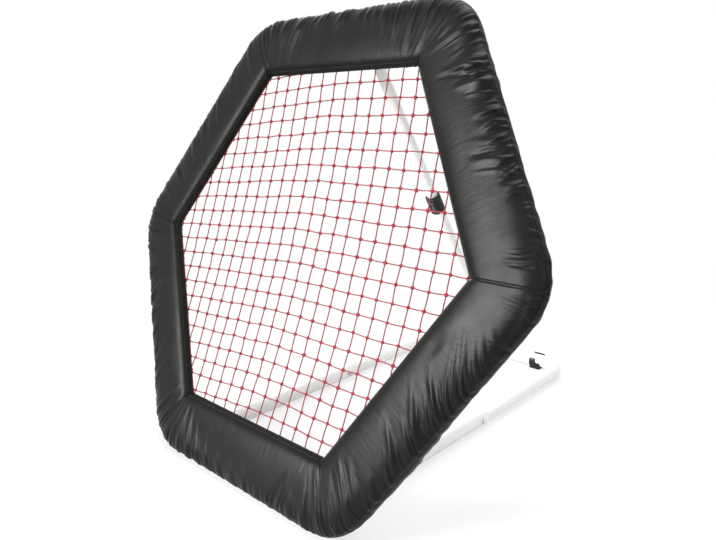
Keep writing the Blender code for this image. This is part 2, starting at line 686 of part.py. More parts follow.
def make_lower(parent):
    """The strut's outer tube and the foot that bears on the rear bar."""
    tube_end = -(STRUT_LONG - FOOT_LIFT - FOOT_LONG)
    top = -(COLLAR_TOP + COLLAR_LIP + FIT)
    profile = [(LOWER_R, top), (LOWER_R, tube_end), (LOWER_BORE, tube_end), (LOWER_BORE, top)]
    add_object("strut_lower_tube", turned_mesh("lower", profile, closed=True), parent, PAINT)
    foot_end = -(STRUT_LONG - FOOT_LIFT)
    body_r = LOWER_R + 0.0012
    body = cylinder_mesh(body_r, (0, 0, tube_end - FIT), (0, 0, foot_end), 24)
    foot = add_object("strut_foot", body, parent, PLASTIC)
    spigot_top = tube_end + FOOT_SPIGOT
    join(foot, cylinder_mesh(LOWER_BORE - FIT, (0, 0, tube_end - FIT - 0.002), (0, 0, spigot_top)))
    inner = STAND_R + CRADLE_GAP
    bar = (0.0, -STRUT_LONG)
    quarter = math.pi / 2
    inside = ring_points(inner, bar, quarter + CRADLE_FROM, quarter + CRADLE_TO, 8)
    outside = ring_points(inner + CRADLE_WALL, bar, quarter + CRADLE_TO, quarter + CRADLE_FROM + 0.7, 6)
    rise = foot_end + 0.006
    outline = [*inside, *outside, (-body_r * 0.96, rise), (inside[0][0], rise)]
    join(foot, outline_mesh("cradle", outline, -CRADLE_WIDE / 2 * 0.98, CRADLE_WIDE / 2 * 0.98))


def make_collar(parent):
    """The twist-lock collar: a ribbed sleeve whose lip closes on the inner tube."""
    top, bottom = -COLLAR_TOP, -(COLLAR_TOP + COLLAR_LONG)
    ribs = []
    pitch = COLLAR_LONG / (COLLAR_RIBS + 2)
    for rib in range(COLLAR_RIBS):
        start = top - pitch * (rib + 1)
        ribs += [(COLLAR_R, start), (COLLAR_R - COLLAR_RIB, start - pitch * 0.15)]
        ribs += [(COLLAR_R - COLLAR_RIB, start - pitch * 0.35), (COLLAR_R, start - pitch * 0.5)]
    shoulder = top - COLLAR_LIP
    profile = [(COLLAR_R - 0.001, top), (COLLAR_R, top - 0.001), *ribs, (COLLAR_R, bottom + 0.001)]
    profile += [(COLLAR_R - 0.001, bottom), (LOWER_R + FIT, bottom), (LOWER_R + FIT, shoulder)]
    profile += [(LOWER_BORE, shoulder), (LOWER_BORE, top)]
    add_object("strut_collar", turned_mesh("collar", profile, closed=True), parent, PLASTIC)


clear_scene()
PARTS = make_collection("soccer_rebounder")
TOOLS = make_collection("cutters", hidden=True)
FABRIC = make_material("cover_fabric", (0.020, 0.020, 0.020), 0.38)
FOAM = make_material("foam", (0.30, 0.30, 0.31), 0.95)
PAINT = make_material("white_paint", (0.86, 0.86, 0.85), 0.35)
PLASTIC = make_material("black_plastic", (0.018, 0.018, 0.019), 0.40)
ZINC = make_material("zinc", (0.62, 0.62, 0.62), 0.35, 1.0)
NET_RED = make_material("net_cord", (0.48, 0.035, 0.055), 0.70)

panel_pivot = add_empty("panel_pivot", HINGE, -LEAN)
panel_frame = add_empty("panel_frame", (0, -HINGE_DEPTH, -HINGE_HEIGHT), 0.0, panel_pivot)
make_panel(panel_frame)

stand = add_empty("stand", (0, 0, 0))
make_rear_u(stand)
make_leg("left", -STAND_HALF, stand)
make_leg("right", STAND_HALF, stand)
make_rear_foot("left", -REAR_FOOT_X, stand)
make_rear_foot("right", REAR_FOOT_X, stand)

strut_pivot = add_empty("strut_pivot", TOP_PIVOT, STRUT_TILT)
make_upper(strut_pivot)
strut_slide = add_empty("strut_slide", (0, 0, 0), 0.0, strut_pivot)
make_lower(strut_slide)
strut_twist = add_empty("strut_twist", (0, 0, 0), 0.0, strut_slide)
make_collar(strut_twist)
bpy.context.view_layer.update()
for label, place in (("hinge", HINGE), ("top pivot", TOP_PIVOT), ("rear bar", BAR)):
    print(label, [round(value, 5) for value in place])
print("strut", round(STRUT_LONG, 5), "tilt", round(math.degrees(STRUT_TILT), 3))
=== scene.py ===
"""Soccer rebounder: the finished look of a padded hexagonal net panel on a folding tube stand.

Everything is in metres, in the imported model's frame: +Z up, the player at -Y, the origin in the middle of
the footprint on the floor. Panel pieces are made upright, as (across, depth, height), and then leaned back.
"""

from __future__ import annotations

import json
import logging
import math
from contextlib import contextmanager
from dataclasses import dataclass, field
from enum import Enum
from typing import Iterator, Sequence

import bmesh
import bpy
import numpy as np
from mathutils import Matrix, Vector
from mathutils.bvhtree import BVHTree

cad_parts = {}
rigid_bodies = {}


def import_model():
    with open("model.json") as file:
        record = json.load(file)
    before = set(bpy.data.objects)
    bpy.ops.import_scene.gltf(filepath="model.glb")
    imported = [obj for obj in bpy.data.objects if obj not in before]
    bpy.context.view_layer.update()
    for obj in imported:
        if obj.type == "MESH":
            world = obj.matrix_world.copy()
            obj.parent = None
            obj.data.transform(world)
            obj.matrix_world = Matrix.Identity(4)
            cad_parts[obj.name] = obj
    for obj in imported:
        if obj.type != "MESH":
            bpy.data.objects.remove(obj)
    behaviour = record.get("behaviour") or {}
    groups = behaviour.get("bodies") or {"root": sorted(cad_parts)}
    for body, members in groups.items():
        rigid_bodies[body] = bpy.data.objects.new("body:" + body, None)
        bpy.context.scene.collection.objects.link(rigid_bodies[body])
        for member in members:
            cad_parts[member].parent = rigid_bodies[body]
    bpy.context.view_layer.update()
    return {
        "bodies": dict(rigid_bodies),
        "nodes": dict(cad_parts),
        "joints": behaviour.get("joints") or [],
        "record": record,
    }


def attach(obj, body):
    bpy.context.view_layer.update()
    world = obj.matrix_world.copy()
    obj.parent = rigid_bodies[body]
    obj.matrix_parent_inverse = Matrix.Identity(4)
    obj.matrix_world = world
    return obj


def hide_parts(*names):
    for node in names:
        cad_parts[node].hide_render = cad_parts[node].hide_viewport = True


LOG = logging.getLogger("soccer_rebounder")
Pair = tuple[float, float]
Triple = tuple[float, float, float]

SLOPE = math.tan(math.radians(30))
"""Half the length of a hexagon's side, over its distance from the middle."""
BACK = 1.001
"""What is taken off a place across the cover's back, so that the back's places are below zero."""
STRANDS_ALONG, STRANDS_ROUND = 200, 2
"""How a cord's strands are laid on it: UV units for each metre along it and for each turn round it."""
HALF_SIDE = 0.209
"""About half the length of the cover's sides, for places that follow a fold's width."""


class Side(Enum):
    """The hexagon's sides, counted from the one on the floor, towards +X."""

    BOTTOM = 0
    LOWER_RIGHT = 1
    UPPER_RIGHT = 2
    TOP = 3
    UPPER_LEFT = 4
    LOWER_LEFT = 5


class Body(Enum):
    """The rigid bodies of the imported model."""

    STAND = "stand"
    PANEL = "panel"
    STRUT_UPPER = "strut_upper"
    STRUT_LOWER = "strut_lower"
    COLLAR = "collar"


@contextmanager
def shaping(mesh: bpy.types.Mesh) -> Iterator[bmesh.types.BMesh]:
    """Opens a mesh for editing by its faces and edges, and writes it back at the end.

    Args:
        mesh: The mesh.

    Yields:
        The shape to edit.
    """
    shape = bmesh.new()
    shape.from_mesh(mesh)
    yield shape
    shape.to_mesh(mesh)
    shape.free()


def read_points(mesh: bpy.types.Mesh) -> np.ndarray:
    """Reads a mesh's points.

    Args:
        mesh: The mesh.

    Returns:
        The points, a row for each.
    """
    flat = np.empty(len(mesh.vertices) * 3)
    mesh.vertices.foreach_get("co", flat)
    return flat.reshape(-1, 3)


def write_points(mesh: bpy.types.Mesh, points: np.ndarray) -> None:
    """Moves a mesh's points to new places, a row for each."""
    mesh.vertices.foreach_set("co", points.ravel())
    mesh.update()


def link(name: str, data: bpy.types.ID) -> bpy.types.Object:
    """Puts a new object into the scene.

    Args:
        name: The object's name.
        data: A mesh, a light or a camera.

    Returns:
        The object.
    """
    thing = bpy.data.objects.new(name, data)
    bpy.context.scene.collection.objects.link(thing)
    return thing


@dataclass(frozen=True)
class Layout:
    """Where the panel, the stand and the strut are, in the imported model's frame.

    Attributes:
        lean: How far the panel leans back.
        hinge: The middle between the hinge bolts.
        hinge_depth: How far behind the panel's front plane they are.
        hinge_height: How far above the panel's lower seam they are.
        top_pivot: The strut's top bolt.
        bar: The middle of the rear bar.
        apothem: The distance from the panel's middle to its outer seam.
    """

    lean: float = math.radians(21.4)
    hinge: Triple = (0.0, -0.30063, 0.0155)
    hinge_depth: float = 0.046
    hinge_height: float = 0.032395
    top_pivot: Triple = (0.0, -0.0559, 0.63449)
    bar: Triple = (0.0, 0.34372, 0.0155)
    apothem: float = 0.3622

    def panel_matrix(self) -> Matrix:
        """Returns the turn and shift that lean a panel piece back into its place."""
        lift = Matrix.Translation((0, -self.hinge_depth, -self.hinge_height))
        return Matrix.Translation(self.hinge) @ Matrix.Rotation(-self.lean, 4, "X") @ lift

    def strut_matrix(self) -> Matrix:
        """Works out what carries a strut piece, made along -Z, into its place.

        Returns:
            The turn and shift.
        """
        reach = Vector(self.bar) - Vector(self.top_pivot)
        tilt = math.atan2(reach.y, -reach.z)
        return Matrix.Translation(self.top_pivot) @ Matrix.Rotation(tilt, 4, "X")

    def strut_length(self) -> float:
        """Returns the distance from the top pivot to the rear bar's middle."""
        return (Vector(self.bar) - Vector(self.top_pivot)).length

    def side_matrix(self, side: Side) -> Matrix:
        """Works out the turn about the hexagon's middle that carries the bottom side to another.

        Args:
            side: The side to reach.

        Returns:
            The turn, for panel coordinates.
        """
        middle = Matrix.Translation((0, 0, self.apothem))
        return middle @ Matrix.Rotation(-math.radians(60) * side.value, 4, "Y") @ middle.inverted()


class Bench:
    """Modelling by hand: operators in edit mode on one piece at a time."""

    @staticmethod
    def clear() -> None:
        """Leaves nothing selected and object mode on."""
        if bpy.context.object and bpy.context.object.mode != "OBJECT":
            bpy.ops.object.mode_set(mode="OBJECT")
        bpy.ops.object.select_all(action="DESELECT")

    @staticmethod
    def pick(piece: bpy.types.Object) -> None:
        """Selects one piece alone and makes it active.

        Args:
            piece: The piece.
        """
        Bench.clear()
        piece.select_set(True)
        bpy.context.view_layer.objects.active = piece

    @staticmethod
    def ring(
        name: str, radius: float, place: Triple, sides: int, turn: Triple = (0, 0, 0)
    ) -> bpy.types.Object:
        """Adds a bare ring of edges and opens it in edit mode, all selected.

        Args:
            name: The piece's name.
            radius: The ring's radius.
            place: Its middle.
            sides: How many edges it has.
            turn: Its Euler turn; unturned, it lies flat and faces +Z.

        Returns:
            The new piece, in edit mode.
        """
        Bench.clear()
        bpy.ops.mesh.primitive_circle_add(
            vertices=sides, radius=radius, location=place, rotation=turn, fill_type="NOTHING"
        )
        piece = bpy.context.object
        piece.name = name
        piece.data.name = name
        bpy.ops.object.mode_set(mode="EDIT")
        bpy.ops.mesh.select_all(action="SELECT")
        return piece

    @staticmethod
    def extrude(step: Triple) -> None:
        """Extrudes the selected ring along a step."""
        bpy.ops.mesh.extrude_region_move(TRANSFORM_OT_translate={"value": step})

    @staticmethod
    def turned(name: str, rings: Sequence[Pair], sides: int) -> bpy.types.Object:
        """Turns a hollow piece up Z, as a stack of extruded and resized rings, the last joined to the first.

        Args:
            name: The piece's name.
            rings: The (radius, height) of each ring, down the outside and back up the bore.
            sides: How many edges each ring has.

        Returns:
            The piece, in object mode.
        """
        radius, height = rings[0]
        piece = Bench.ring(name, radius, (0, 0, height), sides)
        for next_radius, next_height in rings[1:]:
            Bench.extrude((0, 0, next_height - height))
            share = next_radius / radius
            bpy.ops.transform.resize(value=(share, share, 1), center_override=(0, 0, next_height))
            radius, height = next_radius, next_height
        bpy.ops.object.mode_set(mode="OBJECT")
        with shaping(piece.data) as shape:
            ends = [edge for edge in shape.edges if len(edge.link_faces) == 1]
            bmesh.ops.bridge_loops(shape, edges=ends)
            bmesh.ops.recalc_face_normals(shape, faces=shape.faces)
        return piece

    @staticmethod
    def settle(piece: bpy.types.Object, place: Matrix | None = None) -> bpy.types.Object:
        """Moves a piece's mesh to its place and leaves its object at the origin, unturned.

        Args:
            piece: The finished piece.
            place: A further turn and shift, applied last.

        Returns:
            The piece.
        """
        if bpy.context.object and bpy.context.object.mode != "OBJECT":
            bpy.ops.object.mode_set(mode="OBJECT")
        piece.data.transform((place or Matrix.Identity(4)) @ piece.matrix_basis)
        piece.matrix_basis = Matrix.Identity(4)
        return piece

    @staticmethod
    def finish(
        piece: bpy.types.Object, bevel: float = 0.0, angle: float = 35.0, levels: int = 0
    ) -> bpy.types.Object:
        """Applies a rounded edge, a subdivision and smooth shading.

        Args:
            piece: The piece, in object mode.
            bevel: The width of its rounded edges, or 0 for none.
            angle: Edges sharper than this many degrees are rounded and stay crisp.
            levels: How many times it is subdivided.

        Returns:
            The piece.
        """
        Bench.pick(piece)
        if bevel:
            edge = piece.modifiers.new("edges", "BEVEL")
            edge.width = bevel
            edge.segments = 2
            edge.limit_method = "ANGLE"
            edge.angle_limit = math.radians(angle)
            bpy.ops.object.modifier_apply(modifier=edge.name)
        if levels:
            finer = piece.modifiers.new("finer", "SUBSURF")
            finer.levels = finer.render_levels = levels
            bpy.ops.object.modifier_apply(modifier=finer.name)
        bpy.ops.object.shade_smooth_by_angle(angle=math.radians(angle))
        return piece

    @staticmethod
    def cylinder(name: str, radius: float, start: Triple, end: Triple, sides: int = 32) -> bpy.types.Object:
        """Adds a cylinder between two points.

        Args:
            name: The piece's name.
            radius: Its radius.
            start: The middle of one end.
            end: The middle of the other.
            sides: How many faces it has round.

        Returns:
            The cylinder, in object mode.
        """
        Bench.clear()
        along = Vector(end) - Vector(start)
        middle = (Vector(start) + Vector(end)) / 2
        turn = along.to_track_quat("Z", "Y").to_euler()
        bpy.ops.mesh.primitive_cylinder_add(
            vertices=sides, radius=radius, depth=along.length, location=middle, rotation=turn
        )
        piece = bpy.context.object
        piece.name = piece.data.name = name
        return Bench.settle(piece)


class Shader:
    """A node tree being laid out for one finish."""

    def __init__(self, name: str) -> None:
        """Starts a material with a Principled shader.

        Args:
            name: The material's name.
        """
        self.material = bpy.data.materials.new(name)
        self.material.use_nodes = True
        self.tree = self.material.node_tree
        self.principled = self.tree.nodes["Principled BSDF"]
        self.coordinates = self.add("ShaderNodeTexCoord")

    def add(self, kind: str, **settings: object) -> bpy.types.Node:
        """Adds a node with its settings: attributes, or inputs by their socket's name with _ for a space.

        Args:
            kind: The node's type.
            **settings: Attributes, or input values.

        Returns:
            The node.
        """
        node = self.tree.nodes.new(kind)
        for name, value in settings.items():
            if hasattr(node, name):
                setattr(node, name, value)
            else:
                node.inputs[name.replace("_", " ")].default_value = value
        return node

    def wire(self, start: bpy.types.NodeSocket, end: bpy.types.NodeSocket) -> None:
        """Links two sockets."""
        self.tree.links.new(start, end)

    def set(self, **values: object) -> None:
        """Sets the Principled shader's own inputs."""
        for name, value in values.items():
            self.principled.inputs[name.replace("_", " ")].default_value = value

    def noise(
        self, scale: float, detail: float = 3.0, uv: bool = False, stretch: Triple = (1, 1, 1)
    ) -> bpy.types.NodeSocket:
        """Adds noise over the piece.

        Args:
            scale: Cells per metre.
            detail: Octaves.
            uv: Whether it lies on the UV map.
            stretch: How it is scaled along each axis.

        Returns:
            The noise's value socket.
        """
        place = self.add("ShaderNodeMapping")
        place.inputs["Scale"].default_value = stretch
        self.wire(self.coordinates.outputs["UV" if uv else "Object"], place.inputs["Vector"])
        node = self.add("ShaderNodeTexNoise", Scale=scale, Detail=detail)
        self.wire(place.outputs["Vector"], node.inputs["Vector"])
        return node.outputs["Fac"]

    def ramp(self, value: bpy.types.NodeSocket, low: Pair, high: Pair) -> bpy.types.NodeSocket:
        """Maps a value from one range to another, clamped.

        Args:
            value: The value.
            low: The (from, to) of the lower end.
            high: The (from, to) of the upper end.

        Returns:
            The result's socket.
        """
        ends = {"From_Min": low[0], "To_Min": low[1], "From_Max": high[0], "To_Max": high[1]}
        node = self.add("ShaderNodeMapRange", **ends)
        self.wire(value, node.inputs["Value"])
        return node.outputs["Result"]

    def blend(self, share: bpy.types.NodeSocket, first: Triple, second: Triple) -> bpy.types.NodeSocket:
        """Mixes two colours.

        Args:
            share: How much of the second there is.
            first: The first colour.
            second: The second colour.

        Returns:
            The colour's socket.
        """
        node = self.add("ShaderNodeMix", data_type="RGBA")
        colours = [socket for socket in node.inputs if socket.type == "RGBA"]
        colours[0].default_value = (*first, 1)
        colours[1].default_value = (*second, 1)
        self.wire(share, node.inputs["Factor"])
        return next(socket for socket in node.outputs if socket.type == "RGBA")

    def tint(self, value: bpy.types.NodeSocket, span: Pair, first: Triple, second: Triple) -> None:
        """Colours the piece by a value.

        Args:
            value: The value.
            span: Where the first colour ends and where the second is full.
            first: The colour where the value is low.
            second: The colour where it is high.
        """
        share = self.ramp(value, (span[0], 0.0), (span[1], 1.0))
        self.wire(self.blend(share, first, second), self.principled.inputs["Base Color"])

    def gloss(self, value: bpy.types.NodeSocket, roughness: Pair) -> None:
        """Varies the roughness by a value.

        Args:
            value: The value.
            roughness: The roughness where the value is low and where it is high.
        """
        varied = self.ramp(value, (0.3, roughness[0]), (0.7, roughness[1]))
        self.wire(varied, self.principled.inputs["Roughness"])

    def bump(self, heights: Sequence[tuple[bpy.types.NodeSocket, float, float]]) -> None:
        """Chains bump nodes into the shader's normal.

        Args:
            heights: Each (height socket, depth in metres, strength).
        """
        last = None
        for height, depth, strength in heights:
            node = self.add("ShaderNodeBump", Strength=strength, Distance=depth)
            self.wire(height, node.inputs["Height"])
            if last:
                self.wire(last.outputs["Normal"], node.inputs["Normal"])
            last = node
        self.wire(last.outputs["Normal"], self.principled.inputs["Normal"])


@dataclass(frozen=True)
class CoatedCloth:
    """Thin woven polyester with a shiny coating: near black, soft highlights, a fine weave.

    Attributes:
        colour: Its colour.
        worn: Its colour where it is worn.
        gloss: Its least and most roughness.
        weave: The scale of the wave texture that stands for its threads.
    """

    colour: Triple = (0.0044, 0.0044, 0.0042)
    worn: Triple = (0.0074, 0.0074, 0.0069)
    gloss: Pair = (0.31, 0.41)
    weave: float = 110.0

    def make(self) -> bpy.types.Material:
        """Lays out the finish as a material.

        Returns:
            The material.
        """
        shader = Shader("coated_cloth")
        shader.tint(shader.noise(9.0, detail=4.0), (0.35, 0.75), self.colour, self.worn)
        shader.gloss(shader.noise(26.0), self.gloss)
        shader.set(IOR=1.5, Specular_IOR_Level=0.11, Specular_Tint=(1.0, 1.0, 0.965, 1.0))
        weave = shader.add("ShaderNodeMath", operation="MULTIPLY")
        shader.wire(self.thread(shader, "X"), weave.inputs[0])
        shader.wire(self.thread(shader, "Y"), weave.inputs[1])
        crease = shader.noise(34.0)
        pucker = shader.noise(1.0, uv=True, stretch=(150, 22, 1))
        shader.bump([(weave.outputs["Value"], 0.00006, 0.10), (crease, 0.0012, 0.14), (pucker, 0.0014, 0.22)])
        return shader.material

    def thread(self, shader: Shader, way: str) -> bpy.types.NodeSocket:
        """Adds the threads that run one way.

        Args:
            shader: The material being made.
            way: The axis that they cross.

        Returns:
            Their height's socket.
        """
        node = shader.add("ShaderNodeTexWave", bands_direction=way, Scale=self.weave, Distortion=0.4)
        shader.wire(shader.coordinates.outputs["UV"], node.inputs["Vector"])
        return node.outputs["Fac"]


@dataclass(frozen=True)
class PowderCoat:
    """White powder coat on steel tube: a faint orange peel and a little grime.

    Attributes:
        colour: Its colour.
        dusty: Its colour where grime lies.
        gloss: Its least and most roughness.
    """

    colour: Triple = (0.87, 0.87, 0.86)
    dusty: Triple = (0.78, 0.78, 0.76)
    gloss: Pair = (0.28, 0.40)

    def make(self) -> bpy.types.Material:
        """Lays out the finish as a material.

        Returns:
            The material.
        """
        shader = Shader("white_powder_coat")
        shader.tint(shader.noise(14.0, detail=6.0), (0.55, 0.85), self.colour, self.dusty)
        shader.gloss(shader.noise(40.0), self.gloss)
        shader.set(IOR=1.5)
        shader.bump([(shader.noise(900.0, detail=2.0), 0.00015, 0.25)])
        return shader.material


@dataclass(frozen=True)
class MouldedPlastic:
    """Black moulded plastic with a fine grain.

    Attributes:
        colour: Its colour.
        scuffed: Its colour where it is scuffed.
        gloss: Its least and most roughness.
    """

    colour: Triple = (0.007, 0.008, 0.0075)
    scuffed: Triple = (0.022, 0.023, 0.022)
    gloss: Pair = (0.24, 0.42)

    def make(self) -> bpy.types.Material:
        """Lays out the finish as a material.

        Returns:
            The material.
        """
        shader = Shader("moulded_plastic")
        shader.tint(shader.noise(120.0, detail=6.0), (0.6, 0.85), self.colour, self.scuffed)
        shader.gloss(shader.noise(300.0), self.gloss)
        shader.set(IOR=1.48, Specular_IOR_Level=0.3)
        shader.bump([(shader.noise(2600.0, detail=2.0), 0.00008, 0.25)])
        return shader.material


@dataclass(frozen=True)
class ZincPlate:
    """Zinc-plated steel with fine turning marks.

    Attributes:
        colour: Its colour.
        dull: Its colour where it is dull.
        gloss: Its least and most roughness.
    """

    colour: Triple = (0.60, 0.60, 0.58)
    dull: Triple = (0.42, 0.42, 0.42)
    gloss: Pair = (0.26, 0.45)

    def make(self) -> bpy.types.Material:
        """Lays out the finish as a material.

        Returns:
            The material.
        """
        shader = Shader("zinc_plate")
        shader.tint(shader.noise(220.0, detail=5.0), (0.45, 0.75), self.colour, self.dull)
        shader.gloss(shader.noise(500.0), self.gloss)
        shader.set(Metallic=1.0)
        shader.bump([(shader.noise(3000.0, detail=1.0, stretch=(1, 8, 8)), 0.00004, 0.3)])
        return shader.material


@dataclass(frozen=True)
class BraidedCord:
    """Braided polyester cord or thread, red unless told otherwise, with painted shade darkening the gaps
    between its strands.

    Attributes:
        name: The material's name.
        colour: Its colour.
        shade: Its colour between the strands, a painted shade.
        roughness: Its roughness.
    """

    name: str = "braided_cord"
    colour: Triple = (0.28, 0.014, 0.028)
    shade: Triple = (0.10, 0.007, 0.012)
    roughness: float = 0.62

    def make(self) -> bpy.types.Material:
        """Lays out the finish as a material.

        Returns:
            The material.
        """
        shader = Shader(self.name)
        strands = shader.add("ShaderNodeTexWave", bands_direction="DIAGONAL", Scale=3.0, Distortion=0.6)
        shader.wire(shader.coordinates.outputs["UV"], strands.inputs["Vector"])
        fuzz = shader.noise(1500.0)
        both = shader.add("ShaderNodeMath", operation="MULTIPLY_ADD")
        both.inputs[1].default_value = 0.7
        shader.wire(strands.outputs["Fac"], both.inputs[0])
        shader.wire(fuzz, both.inputs[2])
        # Painted shade: the colour goes darker where the strands' waves dip into the gaps, with a random
        # fuzz.
        shader.tint(both.outputs["Value"], (0.25, 0.9), self.shade, self.colour)
        shader.set(Roughness=self.roughness, IOR=1.45, Sheen_Weight=0.15, Sheen_Roughness=0.5)
        shader.bump([(strands.outputs["Fac"], 0.0003, 0.6), (fuzz, 0.0001, 0.3)])
        return shader.material


# The second colour of each is the painted shade between its strands.
KNOTTED_CORD = BraidedCord("knotted_cord", (0.42, 0.012, 0.035), (0.20, 0.008, 0.018), 0.55)
BLACK_THREAD = BraidedCord("black_thread", (0.030, 0.030, 0.031), (0.010, 0.010, 0.010), 0.5)


@dataclass
class Finishes:
    """Every finish, made once.

    Attributes:
        cloth: The cover's coated cloth.
        paint: The stand's and the strut's powder coat.
        plastic: The black plastic.
        zinc: The bolts' and screws' zinc.
        cord: The net's cord.
        knot: The cord of its knots.
        thread: The hem's black thread.
    """

    cloth: bpy.types.Material = field(default_factory=lambda: CoatedCloth().make())
    paint: bpy.types.Material = field(default_factory=lambda: PowderCoat().make())
    plastic: bpy.types.Material = field(default_factory=lambda: MouldedPlastic().make())
    zinc: bpy.types.Material = field(default_factory=lambda: ZincPlate().make())
    cord: bpy.types.Material = field(default_factory=lambda: BraidedCord().make())
    knot: bpy.types.Material = field(default_factory=lambda: KNOTTED_CORD.make())
    thread: bpy.types.Material = field(default_factory=lambda: BLACK_THREAD.make())


def dress(
    piece: bpy.types.Object, finish: bpy.types.Material, body: Body, slot: str, *nodes: str
) -> bpy.types.Object:
    """Gives a piece its finish and body, and hides the CAD nodes that it stands for.

    Args:
        piece: The finished piece.
        finish: Its material.
        body: The body that it rides on.
        slot: The record's material slot that it belongs to; not used.
        *nodes: The CAD nodes that it replaces.

    Returns:
        The piece.
    """
    piece.data.materials.clear()
    piece.data.materials.append(finish)
    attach(piece, body.value)
    if nodes:
        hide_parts(*nodes)
    LOG.info("%s rides on %s", piece.name, body.value)
    return piece


def refinish(node: str, finish: bpy.types.Material) -> None:
    """Gives a CAD node that keeps its shape a better finish."""
    for slot in bpy.data.objects[node].material_slots:
        slot.material = finish


def mesh_piece(
    name: str, points: np.ndarray, faces: Sequence[Sequence[int]], uv: np.ndarray
) -> bpy.types.Object:
    """Makes a piece from points and faces, with a UV for each point.

    Args:
        name: The piece's name.
        points: Its points.
        faces: Each face's points, by number.
        uv: A (u, v) for each point.

    Returns:
        The piece, linked to the scene.
    """
    mesh = bpy.data.meshes.new(name)
    mesh.from_pydata(points.tolist(), [], [list(face) for face in faces])
    layer = mesh.uv_layers.new(name="UVMap")
    numbers = np.empty(len(mesh.loops), dtype=np.int32)
    mesh.loops.foreach_get("vertex_index", numbers)
    layer.data.foreach_set("uv", uv[numbers].astype(np.float32).ravel())
    mesh.validate()
    mesh.shade_smooth()
    return link(name, mesh)


@dataclass(frozen=True)
class Fold:
    """One fold in a cover band: a crest with a shallower valley beside it, which fades towards the hem.

    Attributes:
        side: The band that it is on.
        at: Where it starts along the side, from -1 to 1.
        drift: How far along the side it has moved at its end.
        start: Where it starts across the band, from 0 at the outer seam to 1 at the hem.
        end: Where it fades out.
        width: Half its width.
        height: How far it stands out; a hollow is negative.
        bend: How late it turns: 1 is straight, more is curved.
    """

    side: Side
    at: float
    drift: float
    start: float
    end: float
    width: float
    height: float
    bend: float = 1.0

    def lift(self, shares: np.ndarray, across: np.ndarray, half: float) -> np.ndarray:
        """Works out how far the fold lifts the cloth at each place.

        Args:
            shares: Places along the side, from -1 to 1.
            across: Places across the band, from 0 to 1, in a shape that goes with the shares'.
            half: Half the side's length.

        Returns:
            The lift at each place.
        """
        run = np.clip((across - self.start) / (self.end - self.start), 0.0, 1.0)
        middle = self.at + self.drift * run**self.bend
        narrower = self.width * (1.0 - 0.25 * run)
        off = (shares - middle) * half / narrower
        crest = np.exp(-np.abs(off) ** 1.5)
        valley = 0.55 * np.exp(-np.abs(off - 1.5) ** 1.6)
        opening = 0.45 if self.start < 0.02 else 0.0
        rise = opening + (1 - opening) * np.clip(run / 0.25, 0, 1) ** 1.2
        fade = np.cos(run * math.pi / 2) ** 1.1
        return self.height * (crest - valley) * rise * fade * (across >= self.start - 1e-6)

    def echo(self, offset: float, size: float, reach: float) -> Fold:
        """Makes a smaller fold beside this one.

        Args:
            offset: How many widths to the side it starts.
            size: Its height and width over this one's.
            reach: Its length over this one's.

        Returns:
            The fold.
        """
        end = self.start + (self.end - self.start) * reach
        at = self.at + offset * self.width / HALF_SIDE
        width, height = self.width * size, self.height * size
        return Fold(self.side, at, self.drift * reach, self.start, end, width, height, self.bend)


